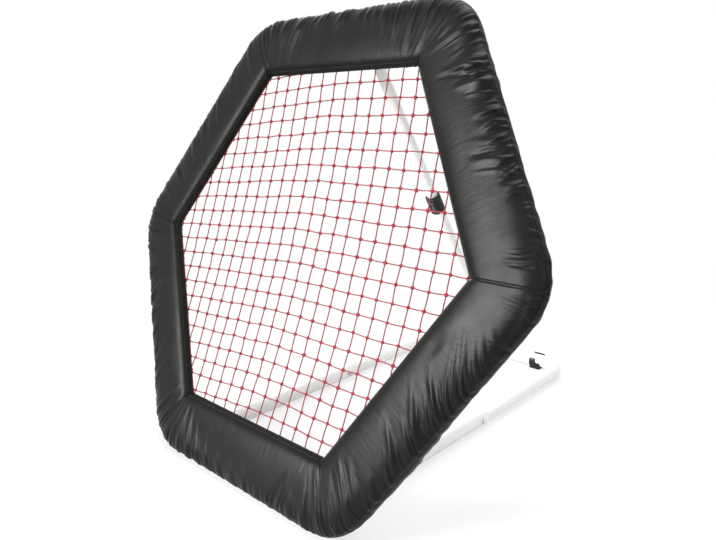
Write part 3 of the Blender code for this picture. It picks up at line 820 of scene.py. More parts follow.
FOLD_PLACES: dict[Side, tuple[tuple[float, ...], ...]] = {
    Side.BOTTOM: (
        (-0.93, -0.04, 0.0, 0.95, 0.007, 0.0030),
        (-0.82, -0.12, 0.0, 0.96, 0.006, 0.0034),
        (-0.70, -0.20, 0.0, 0.94, 0.007, 0.0044, 1.3),
        (-0.56, -0.26, 0.0, 0.90, 0.007, 0.0040, 1.3),
        (-0.42, -0.24, 0.0, 0.72, 0.006, 0.0034, 1.2),
        (-0.30, -0.14, 0.0, 0.55, 0.006, 0.0028),
        (-0.16, -0.08, 0.0, 0.46, 0.006, 0.0024),
        (0.00, -0.05, 0.0, 0.40, 0.006, 0.0022),
        (0.13, -0.03, 0.0, 0.44, 0.005, 0.0020),
        (0.26, 0.02, 0.0, 0.34, 0.006, 0.0018),
        (0.42, 0.18, 0.04, 0.66, 0.006, -0.0040),
        (0.58, 0.08, 0.0, 0.50, 0.007, 0.0022),
        (0.72, 0.10, 0.0, 0.62, 0.007, 0.0024),
        (0.84, 0.07, 0.04, 0.86, 0.006, -0.0034),
        (0.94, 0.03, 0.0, 0.92, 0.005, 0.0030),
    ),
    Side.LOWER_RIGHT: (
        (-0.93, 0.01, 0.0, 0.64, 0.006, 0.0028),
        (-0.86, 0.00, 0.05, 0.74, 0.006, -0.0036),
        (-0.79, 0.03, 0.06, 0.84, 0.007, 0.0032),
        (-0.71, 0.05, 0.15, 0.66, 0.008, 0.0022),
        (-0.58, 0.06, 0.0, 0.30, 0.006, 0.0018),
        (-0.44, 0.10, 0.0, 0.34, 0.005, 0.0020),
        (-0.36, 0.15, 0.02, 0.62, 0.006, 0.0036),
        (-0.23, 0.14, 0.0, 0.48, 0.005, 0.0032),
        (-0.15, 0.28, 0.02, 0.70, 0.006, 0.0042, 1.2),
        (-0.09, 0.24, 0.02, 0.52, 0.005, -0.0034, 1.2),
        (0.01, 0.20, 0.02, 0.56, 0.005, -0.0040, 1.2),
        (0.04, 0.26, 0.0, 0.62, 0.006, 0.0040, 1.3),
        (0.13, 0.34, 0.0, 0.54, 0.005, 0.0030, 1.4),
        (0.20, 0.46, 0.0, 0.66, 0.006, 0.0042, 1.5),
        (0.26, 0.42, 0.0, 0.58, 0.0045, 0.0032, 1.5),
        (0.32, 0.38, 0.0, 0.60, 0.0045, 0.0030, 1.5),
        (0.39, 0.30, 0.0, 0.48, 0.004, 0.0028, 1.4),
        (0.46, 0.24, 0.0, 0.42, 0.004, 0.0026, 1.3),
        (0.54, 0.18, 0.0, 0.34, 0.004, 0.0022),
        (0.56, 0.34, 0.05, 0.18, 0.030, -0.0028),
        (0.40, 0.08, 0.60, 1.00, 0.024, -0.0022),
        (0.86, 0.05, 0.0, 0.50, 0.005, 0.0020),
    ),
    Side.UPPER_RIGHT: (
        (-0.84, 0.00, 0.10, 0.50, 0.005, -0.0040),
        (-0.62, 0.04, 0.02, 0.46, 0.030, -0.0016),
        (-0.43, -0.02, 0.0, 0.26, 0.005, -0.0034),
        (-0.37, 0.02, 0.0, 0.34, 0.005, 0.0026),
        (-0.29, -0.08, 0.0, 0.32, 0.005, -0.0036),
        (-0.21, -0.05, 0.0, 0.28, 0.005, -0.0034),
        (-0.19, 0.07, 0.06, 0.62, 0.009, 0.0028),
        (-0.14, 0.06, 0.04, 0.56, 0.005, -0.0036),
        (-0.07, 0.07, 0.0, 0.48, 0.007, 0.0028),
        (0.00, -0.01, 0.02, 0.38, 0.006, -0.0038),
        (0.05, 0.02, 0.0, 0.34, 0.006, 0.0028),
        (0.09, 0.05, 0.03, 0.40, 0.005, -0.0042),
        (0.13, 0.05, 0.0, 0.38, 0.007, 0.0026),
        (0.23, 0.06, 0.0, 0.38, 0.013, -0.0036),
        (0.33, 0.13, 0.02, 0.56, 0.007, 0.0044),
        (0.38, 0.30, 0.02, 0.78, 0.005, -0.0048),
        (0.43, 0.22, 0.02, 0.62, 0.006, 0.0032),
        (0.51, 0.08, 0.0, 0.54, 0.010, 0.0042),
        (0.61, 0.08, 0.0, 0.42, 0.008, -0.0026),
        (0.74, 0.18, 0.0, 0.80, 0.007, 0.0032),
        (0.86, 0.08, 0.0, 0.78, 0.006, 0.0030),
    ),
    Side.TOP: (
        (-0.88, -0.06, 0.04, 0.98, 0.006, 0.0042),
        (-0.78, -0.12, 0.0, 0.92, 0.006, 0.0036),
        (-0.70, -0.14, 0.0, 0.82, 0.005, -0.0034),
        (-0.62, -0.16, 0.0, 0.84, 0.005, 0.0038),
        (-0.56, -0.12, 0.03, 0.72, 0.005, -0.0036),
        (-0.50, -0.10, 0.0, 0.68, 0.005, 0.0038),
        (-0.44, -0.08, 0.06, 0.60, 0.006, -0.0052),
        (-0.37, -0.05, 0.0, 0.48, 0.005, 0.0026),
        (-0.30, -0.04, 0.0, 0.52, 0.005, 0.0028),
        (-0.23, -0.02, 0.0, 0.46, 0.005, 0.0028),
        (-0.16, 0.02, 0.0, 0.38, 0.005, 0.0024),
        (-0.08, 0.03, 0.0, 0.36, 0.006, -0.0024),
        (0.02, 0.06, 0.0, 0.46, 0.007, 0.0034),
        (0.12, 0.05, 0.0, 0.38, 0.006, -0.0022),
        (0.22, 0.08, 0.0, 0.46, 0.007, 0.0030),
        (0.34, 0.12, 0.0, 0.42, 0.008, -0.0022),
        (0.45, 0.26, 0.02, 1.00, 0.011, 0.0044),
        (0.62, 0.18, 0.0, 0.74, 0.007, 0.0030),
        (0.80, 0.10, 0.0, 0.90, 0.007, 0.0032),
        (0.92, 0.02, 0.08, 0.96, 0.006, -0.0038),
    ),
    Side.UPPER_LEFT: (
        (-0.84, 0.06, 0.0, 0.80, 0.007, 0.0028),
        (-0.60, 0.16, 0.0, 0.50, 0.007, 0.0022),
        (-0.36, 0.24, 0.06, 0.75, 0.007, 0.0028),
        (-0.12, 0.20, 0.10, 0.70, 0.006, -0.0030),
        (0.10, 0.22, 0.10, 0.75, 0.007, 0.0030),
        (0.36, 0.20, 0.06, 0.80, 0.006, -0.0032),
        (0.60, 0.14, 0.0, 0.60, 0.006, 0.0026),
        (0.80, 0.10, 0.0, 0.86, 0.007, 0.0032),
        (0.92, 0.04, 0.0, 0.80, 0.006, 0.0030),
    ),
    Side.LOWER_LEFT: (
        (-0.90, 0.05, 0.0, 0.85, 0.006, 0.0028),
        (-0.70, 0.06, 0.0, 0.50, 0.006, 0.0022),
        (-0.42, -0.12, 0.0, 0.60, 0.007, 0.0024),
        (-0.16, -0.24, 0.0, 0.74, 0.006, 0.0032),
        (0.02, -0.22, 0.0, 0.60, 0.006, 0.0028),
        (0.20, -0.20, 0.0, 0.50, 0.005, 0.0022),
        (0.42, -0.26, 0.0, 0.72, 0.006, -0.0032),
        (0.60, -0.18, 0.0, 0.60, 0.006, 0.0026),
        (0.80, 0.04, 0.0, 0.92, 0.006, 0.0034),
        (0.92, 0.04, 0.0, 0.95, 0.005, 0.0032),
    ),
}
"""Each side's folds, as Fold lists their values after the side."""

FOLDS = {side: [Fold(side, *place) for place in places] for side, places in FOLD_PLACES.items()}


@dataclass
class Sleeve:
    """The padded cover: six bands of coated cloth, gathered into an outer seam and hemmed round the net.

    Attributes:
        layout: Where the panel is.
        band: The band's width, from its outer seam to the hem's edge.
        inner_seam: How far the back's inner seam is from the outer one.
        seam_depth: How deep the outer seam lies.
        crown: How full the front is.
        flatness: How much of that it has lost at the hem.
        hem_step: How soon it is drawn in at the hem.
        stretch: How much longer the cloth is cut than its band.
        back_swell: How full the back is.
        hem_thick: The hem's thickness.
        hem_turn: How far the hem's back edge is turned in.
        corner_round: The radius of the outer corners.
        corner_play: How far from the inner seam the corners' curve ends.
        along: How many columns a side has, less one.
        front_rows: How many rows the front has.
        back_rows: How many rows the back has.
        bunch: How much the rows bunch up at the outer seam.
        slack: How far a hollow may sink.
        gather: How high the puckers at the outer seam are.
        puckers: How many of them a side has.
        sag: How far the back hangs out at the lower right.
        sag_place: Where it does, along its side.
        sag_reach: How far that reaches along the side.
        back_creases: How many pairs of creases a side has on its back.
        seam_groove: How deep the seams are.
        seam_width: The outer seam's width.
        mitre_width: The mitre seams' width.
        frames: How long the cloth settles.
        cap: How far it may move as it settles.
        cut_over: How much higher the folds are cut than they should be.
        laid_under: How much lower they are laid at the start.
        jitter: How uneven the cloth is at the start.
        pressure: How hard the foam pushes.
        seed: Where its random draws start.
    """

    layout: Layout
    band: float = 0.0980
    inner_seam: float = 0.0900
    seam_depth: float = 0.0040
    crown: float = 0.0155
    flatness: float = 0.30
    hem_step: float = 0.058
    stretch: float = 0.035
    back_swell: float = 0.0225
    hem_thick: float = 0.0015
    hem_turn: float = 0.0002
    corner_round: float = 0.09
    corner_play: float = 0.0012
    along: int = 160
    front_rows: int = 28
    back_rows: int = 16
    bunch: float = 1.35
    slack: float = 0.0012
    gather: float = 0.0008
    puckers: int = 60
    sag: float = 0.014
    sag_place: float = -0.35
    sag_reach: float = 0.40
    back_creases: int = 26
    seam_groove: float = 0.0011
    seam_width: float = 0.0020
    mitre_width: float = 0.0018
    frames: int = 24
    cap: float = 0.012
    cut_over: float = 1.15
    laid_under: float = 0.8
    jitter: float = 0.00006
    pressure: float = 0.2
    seed: int = 11

    def swell(self, share: float) -> float:
        """Returns how full the foam is between its outer seam at 0 and its inner seam at 1."""
        return 2.70 * share**0.5 * (1 - share) ** 1.1

    def front(self, share: float) -> float:
        """Works out how far the front stands off: crowned near its seam, then nearly flat up to its hem.

        Args:
            share: A place across the front, from 0 at the outer seam to 1 at the hem.

        Returns:
            The distance.
        """
        fullest = 0.3125
        if share < fullest:
            return self.crown * self.swell(share)
        over = (share - fullest) / (1 - fullest)
        drawn_in = 1 - math.exp(-(((1 - share) / self.hem_step) ** 1.1))
        return self.crown * (1 - self.flatness * over**1.7) * drawn_in

    def section(self) -> tuple[np.ndarray, np.ndarray, np.ndarray]:
        """Lays out the band's section, closed, from the hem's edge over the front, the seam and the back.

        Returns:
            The inset and the depth of each row, and its place across its own face: 0 at the outer seam to
            1 at the hem for the front, and less BACK, so below zero, for the back.
        """
        rows: list[tuple[float, float, float]] = [(self.band, 0.0, 1.0)]
        for i in range(1, self.front_rows + 1):
            share = (1 - i / self.front_rows) ** self.bunch
            line = self.seam_depth + (self.hem_thick / 2 - self.seam_depth) * share
            rows.append((self.band * share, line - self.front(share), share))
        for i in range(1, self.back_rows + 1):
            share = (i / self.back_rows) ** self.bunch
            line = self.seam_depth + (self.hem_thick - self.seam_depth) * share
            rows.append((self.inner_seam * share, line + self.back_swell * self.swell(share), share - BACK))
        rows.append(((self.inner_seam + self.band) / 2, self.hem_thick, 0.0))
        rows.append((self.band - self.hem_turn, self.hem_thick, 0.0))
        table = np.array(rows)
        return table[:, 0], table[:, 1], table[:, 2]

    def shift(self, shares: np.ndarray) -> np.ndarray:
        """Works out how far the rounded corners bring the outer edge in.

        Args:
            shares: Places along the side, from -1 to 1.

        Returns:
            The distance at each place.
        """
        straight = (self.layout.apothem - self.corner_round) * SLOPE
        moved = np.zeros_like(shares)
        for _ in range(6):
            place = np.abs(shares) * (self.layout.apothem - moved) * SLOPE
            past = np.clip(place - straight, 0, self.corner_round / 2)
            moved = self.corner_round - np.sqrt(self.corner_round**2 - past**2)
        return moved

    def grid(self, shares: np.ndarray) -> np.ndarray:
        """Places the smooth section along the bottom side, in panel coordinates.

        Args:
            shares: The columns' places along the side, from -1 to 1.

        Returns:
            A point for each row and column.
        """
        inset, depth, _ = self.section()
        curve = np.clip(1 - inset / (self.inner_seam - self.corner_play), 0, None)
        inset = inset[:, None] + self.shift(shares)[None, :] * curve[:, None]
        reach = (self.layout.apothem - inset) * SLOPE
        deep = np.broadcast_to(depth[:, None], inset.shape)
        return np.stack([shares[None, :] * reach, deep, inset], axis=2)

    def outward(self, points: np.ndarray) -> np.ndarray:
        """Works out the way out of the padding at each point of a grid.

        Args:
            points: The grid, as grid gives it.

        Returns:
            A direction for each point.
        """
        along = np.gradient(points, axis=1)
        around = np.roll(points, -1, axis=0) - np.roll(points, 1, axis=0)
        way = np.cross(around, along)
        way /= np.maximum(np.linalg.norm(way, axis=2, keepdims=True), 1e-9)
        front = self.front_rows // 2
        return way if way[front, :, 1].mean() < 0 else -way

    def creases(self, side: Side, shares: np.ndarray) -> np.ndarray:
        """Works out how far the cloth stands off its smooth shape along one side.

        Args:
            side: The side.
            shares: The columns' places along it, from -1 to 1.

        Returns:
            The lift of each row and column.
        """
        _, _, face = self.section()
        half = self.layout.apothem * SLOPE
        face, place = face[:, None], shares[None, :]
        front = np.clip(face, 0, 1)
        rng = np.random.RandomState(self.seed + 17 * side.value)
        lift = np.zeros((len(face), len(shares)))
        for fold in FOLDS[side]:
            lift += fold.lift(place, front, half) * (face > 0)
        back = np.clip(face + BACK, 0, 1)
        for _ in range(self.back_creases):
            fold = self.stray(side, rng, 0.10, (0.3, 0.85), (0.004, 0.010), (0.0008, 0.0026))
            lift += fold.lift(place, back, half) * (face < 0)
            fold = self.stray(side, rng, 0.08, (0.2, 0.6), (0.004, 0.008), (0.0008, 0.0020))
            lift += fold.lift(place, 1 - back, half) * (face < 0)
        if side is Side.LOWER_RIGHT:
            bag = self.sag * np.exp(-(((place - self.sag_place) / self.sag_reach) ** 2)) * self.swell(0.3)
            lift += bag * (face < 0) * (back * (1 - back) * 4) ** 0.7
        return lift * self.ends(shares)[None, :]

    @staticmethod
    def ends(shares: np.ndarray) -> np.ndarray:
        """Returns how much of a fold is left at each place, as folds die out at the mitres."""
        return np.clip((1 - np.abs(shares)) / 0.035, 0, 1) ** 0.7

    @staticmethod
    def stray(
        side: Side, rng: np.random.RandomState, drift: float, reach: Pair, width: Pair, height: Pair
    ) -> Fold:
        """Picks a fold at a random place on the back, a ridge or a hollow.

        Args:
            side: The side.
            rng: A seeded source.
            drift: How far it may lean, as a deviation.
            reach: The least and the most of its length.
            width: The least and the most of half its width.
            height: The least and the most of its height.

        Returns:
            The fold.
        """
        at, lean, end = rng.uniform(-0.97, 0.97), rng.normal(0.0, drift), rng.uniform(*reach)
        half_width = rng.uniform(*width)
        return Fold(side, at, lean, 0.0, end, half_width, rng.choice((-1, 1)) * rng.uniform(*height))

    def gathers(self, side: Side, shares: np.ndarray, across: np.ndarray) -> np.ndarray:
        """Works out the fine creases and the seams' grooves that the settled cloth still lacks.

        Args:
            side: The side.
            shares: Places along it, from -1 to 1, one for each point.
            across: Places across the front, from 0 at the outer seam to 1 at the hem.

        Returns:
            The lift of each point.
        """
        half = self.layout.apothem * SLOPE
        rng = np.random.RandomState(self.seed + 31 * side.value + 5)
        mine = []
        for fold in (fold for fold in FOLDS[side] if fold.width < 0.02):
            for way in (-1, 1):
                offset = way * rng.uniform(1.0, 2.6)
                mine.append(fold.echo(offset, rng.uniform(0.28, 0.45), rng.uniform(0.5, 0.95)))
        for _ in range(self.puckers):
            at, length = rng.uniform(-0.97, 0.97), rng.uniform(0.06, 0.26)
            height = rng.choice((-1, 1)) * rng.uniform(0.5, 1.0) * self.gather
            lean, width = rng.normal(0.0, 0.03), rng.uniform(0.0022, 0.0042)
            mine.append(Fold(side, at, lean, 0.0, length, width, height))
        lift = np.zeros_like(shares)
        for fold in mine:
            lift += fold.lift(shares, across, half)
        near = np.abs(1 - np.abs(shares))
        mitre = np.exp(-((near * half / self.mitre_width) ** 2))
        outer_seam = np.exp(-((across * self.band / self.seam_width) ** 2))
        return lift * np.clip(near / 0.035, 0, 1) ** 0.7 - self.seam_groove * (mitre + outer_seam)

    def build(self, cloth: bpy.types.Material) -> bpy.types.Object:
        """Makes the ring, lets the cloth settle, sews the mitres and dresses it.

        Args:
            cloth: The coated cloth.

        Returns:
            The finished sleeve.
        """
        shares = np.linspace(-1, 1, self.along + 1)
        cover, cut, pins = self.ring(shares)
        self.tidy(cover, weld=False)
        self.settle_cloth(cover, cut, pins)
        self.rest_on_foam(cover, shares)
        self.tidy(cover, weld=True)
        Bench.finish(cover, angle=180.0, levels=1)
        self.crease_finely(cover)
        cover.data.shade_smooth()
        cover.data.transform(self.layout.panel_matrix())
        self.rest_on_floor(cover)
        names = [f"{kind}_{side.name.lower()}" for kind in ("cover", "foam_pad") for side in Side]
        return dress(cover, cloth, Body.PANEL, "cover_fabric", *names)

    def ring(self, shares: np.ndarray) -> tuple[bpy.types.Object, np.ndarray, np.ndarray]:
        """Lays out the six bands, each free of its neighbours, with their folds.

        Args:
            shares: The columns' places along a side, from -1 to 1.

        Returns:
            The ring, the shape that its cloth was cut and creased to, and which of its points are sewn.
        """
        smooth = self.grid(shares)
        away = self.outward(smooth)
        rows, columns = smooth.shape[:2]
        held = self.held(rows, columns)
        steps = np.linalg.norm(np.diff(smooth[:, columns // 2], axis=0), axis=1)
        arc = np.concatenate([[0.0], np.cumsum(steps)])
        start, cut, uv, faces = [], [], [], []
        _, _, face = self.section()
        spare = 1 + self.stretch * np.clip(1 - np.abs(face) / 0.75, 0, 1)[:, None]
        rng = np.random.RandomState(self.seed)
        for side in Side:
            turn = np.array(self.layout.side_matrix(side))
            lift = self.creases(side, shares)[:, :, None]
            noise = rng.uniform(-self.jitter, self.jitter, lift.shape) * (~held)[:, :, None]
            laid = smooth + away * (self.laid_under * lift + noise)
            wide = smooth + away * self.cut_over * lift
            wide[:, :, 0] *= spare
            for bag, shape in ((start, laid), (cut, wide)):
                bag.append(shape.reshape(-1, 3) @ turn[:3, :3].T + turn[:3, 3])
            along = smooth[:, :, 0] + 2.0 * side.value
            uv.append(np.stack([along, np.broadcast_to(arc[:, None], along.shape)], axis=2).reshape(-1, 2))
            base = side.value * rows * columns
            for r in range(rows):
                first, second = base + r * columns, base + (r + 1) % rows * columns
                faces += [(first + c, second + c, second + c + 1, first + c + 1) for c in range(columns - 1)]
        cover = mesh_piece("cover_sleeve", np.concatenate(start), faces, np.concatenate(uv))
        self.mark(cover, columns, face)
        return cover, np.concatenate(cut), np.tile(held.ravel(), len(Side))

    @staticmethod
    def mark(cover: bpy.types.Object, columns: int, face: np.ndarray) -> None:
        """Notes each point's place across the front, for the fine creases.

        Args:
            cover: The ring.
            columns: How many columns a side has.
            face: The rows' places across, as section gives them.
        """
        across = np.tile(np.repeat(face, columns), len(Side))
        layer = cover.data.attributes.new("across", "FLOAT", "POINT")
        layer.data.foreach_set("value", across.astype(np.float32))

    def crease_finely(self, cover: bpy.types.Object) -> None:
        """Adds the fine creases and the seams' grooves to the subdivided cloth, and drops the note.

        Args:
            cover: The ring, sewn and subdivided.
        """
        mesh = cover.data
        across = np.empty(len(mesh.vertices), dtype=np.float32)
        mesh.attributes["across"].data.foreach_get("value", across)
        mesh.attributes.remove(mesh.attributes["across"])
        normals = np.empty(len(mesh.vertices) * 3, dtype=np.float32)
        mesh.vertices.foreach_get("normal", normals)
        points = read_points(mesh)
        turns = np.radians(60) * np.arange(len(Side))
        wide, high = points[:, :1], points[:, 2:] - self.layout.apothem
        out = wide * np.sin(turns) - high * np.cos(turns)
        along = wide * np.cos(turns) + high * np.sin(turns)
        nearest = out.argmax(axis=1)
        lift = np.zeros(len(points))
        for side in Side:
            mine = (nearest == side.value) & (across > 0) & (across < 0.999)
            shares = along[mine, side.value] / (out[mine, side.value] * SLOPE)
            lift[mine] = self.gathers(side, shares, across[mine].astype(float))
        write_points(mesh, points + normals.reshape(-1, 3) * lift[:, None])

    @staticmethod
    def rest_on_floor(cover: bpy.types.Object) -> None:
        """Flattens what would sink into the floor under the bottom band.

        Args:
            cover: The ring, in its place.
        """
        points = read_points(cover.data)
        soft = 0.0006
        points[:, 2] = soft * np.logaddexp(0.0, points[:, 2] / soft)
        write_points(cover.data, points)

    def rest_on_foam(self, cover: bpy.types.Object, shares: np.ndarray) -> None:
        """Lifts the hollows of the folds back on to the foam.

        Args:
            cover: The ring, before its mitres are sewn.
            shares: The columns' places along a side, from -1 to 1.
        """
        smooth = self.grid(shares)
        away = self.outward(smooth)
        points = read_points(cover.data)
        size = smooth.shape[0] * smooth.shape[1]
        soft = 0.0004
        for side in Side:
            turn = np.array(self.layout.side_matrix(side))
            part = slice(side.value * size, (side.value + 1) * size)
            base = smooth.reshape(-1, 3) @ turn[:3, :3].T + turn[:3, 3]
            way = away.reshape(-1, 3) @ turn[:3, :3].T
            lift = ((points[part] - base) * way).sum(axis=1)
            rested = soft * np.logaddexp(0.0, (lift + self.slack) / soft) - self.slack
            points[part] += way * (rested - lift)[:, None]
        write_points(cover.data, points)

    def held(self, rows: int, columns: int) -> np.ndarray:
        """Says which points are sewn down while the cloth settles.

        Args:
            rows: How many rows the section has.
            columns: How many columns a side has.

        Returns:
            True for each held point.
        """
        held = np.zeros((rows, columns), dtype=bool)
        held[:, (0, -1)] = True
        held[:2] = True
        held[self.front_rows, ::3] = True
        held[self.front_rows + self.back_rows :] = True
        return held

    @staticmethod
    def tidy(cover: bpy.types.Object, weld: bool) -> None:
        """Turns all faces outwards, and sews the mitres where asked.

        Args:
            cover: The ring.
            weld: Whether the bands are joined to their neighbours.
        """
        with shaping(cover.data) as shape:
            if weld:
                bmesh.ops.remove_doubles(shape, verts=shape.verts, dist=0.0002)
            bmesh.ops.recalc_face_normals(shape, faces=shape.faces)
            front = min(shape.faces, key=lambda face: face.calc_center_median().y)
            if front.normal.y > 0:
                bmesh.ops.reverse_faces(shape, faces=shape.faces)

    def settle_cloth(self, cover: bpy.types.Object, cut: np.ndarray, pins: np.ndarray) -> None:
        """Runs the cloth at its cut size with a soft push from the foam, and keeps the result.

        Args:
            cover: The ring, with each band free of its neighbours.
            cut: The shape that the cloth was cut and creased to, for each point.
            pins: True for each sewn point.
        """
        Bench.pick(cover)
        scene = bpy.context.scene
        start = read_points(cover.data)
        cover.shape_key_add(name="Basis")
        key = cover.shape_key_add(name="as_cut")
        key.data.foreach_set("co", cut.astype(np.float32).ravel())
        key.value = 0.0
        group = cover.vertex_groups.new(name="sewn")
        group.add([int(i) for i in np.nonzero(pins)[0]], 1.0, "REPLACE")
        cloth = cover.modifiers.new("cloth", "CLOTH")
        settings = cloth.settings
        settings.quality = 6
        settings.mass = 0.08
        settings.tension_stiffness = settings.compression_stiffness = 30
        settings.shear_stiffness = 12
        settings.bending_stiffness = 0.5
        settings.tension_damping = settings.compression_damping = 6
        settings.shear_damping = 4
        settings.bending_damping = 0.5
        settings.air_damping = 3
        settings.vertex_group_mass = group.name
        settings.rest_shape_key = key
        settings.use_pressure = True
        settings.uniform_pressure_force = self.pressure
        settings.effector_weights.gravity = 0.0
        cloth.collision_settings.use_collision = False
        cloth.point_cache.frame_start, cloth.point_cache.frame_end = 1, self.frames
        for frame in range(1, self.frames + 1):
            scene.frame_set(frame)
        settled = read_points(cover.evaluated_get(bpy.context.evaluated_depsgraph_get()).data)
        cover.modifiers.remove(cloth)
        cover.shape_key_clear()
        step = settled - start
        size = np.maximum(np.linalg.norm(step, axis=1, keepdims=True), 1e-9)
        LOG.info("the cloth moved %.1f mm at most, %.1f mm on average", size.max() * 1e3, size.mean() * 1e3)
        write_points(cover.data, start + step * self.cap * np.tanh(size / self.cap) / size)
        scene.frame_set(1)


def sweep(
    paths: list[list[Vector]], radius: float, sides: int, cyclic: bool = False
) -> tuple[np.ndarray, list[tuple[int, ...]], np.ndarray]:
    """Runs a round cord along each path.

    Args:
        paths: The points of each cord.
        radius: The cord's radius.
        sides: How many faces it has round.
        cyclic: Whether each path is closed.

    Returns:
        The points, the faces and the UV of each point.
    """
    points: list[Triple] = []
    faces: list[tuple[int, ...]] = []
    uv: list[Pair] = []
    for path in paths:
        base, count = len(points), len(path)
        length = 0.0
        side_way = Vector((0, 1, 0))
        for k, spot in enumerate(path):
            before = path[k - 1] if k or cyclic else path[0]
            after = path[(k + 1) % count] if k + 1 < count or cyclic else path[-1]
            along = (after - before).normalized()
            if k:
                length += (spot - path[k - 1]).length
            side_way = (side_way - along * side_way.dot(along)).normalized()
            up = along.cross(side_way)
            for s in range(sides):
                turn = math.tau * s / sides
                points.append(tuple(spot + (side_way * math.cos(turn) + up * math.sin(turn)) * radius))
                uv.append((length * STRANDS_ALONG, s / sides * STRANDS_ROUND))
        for k in range(count if cyclic else count - 1):
            near, far = base + k * sides, base + (k + 1) % count * sides
            for s in range(sides):
                t = (s + 1) % sides
                faces.append((near + s, far + s, far + t, near + t))
        if not cyclic:
            faces.append(tuple(base + s for s in range(sides)))
            faces.append(tuple(base + (count - 1) * sides + s for s in reversed(range(sides))))
    return np.array(points), faces, np.array(uv)


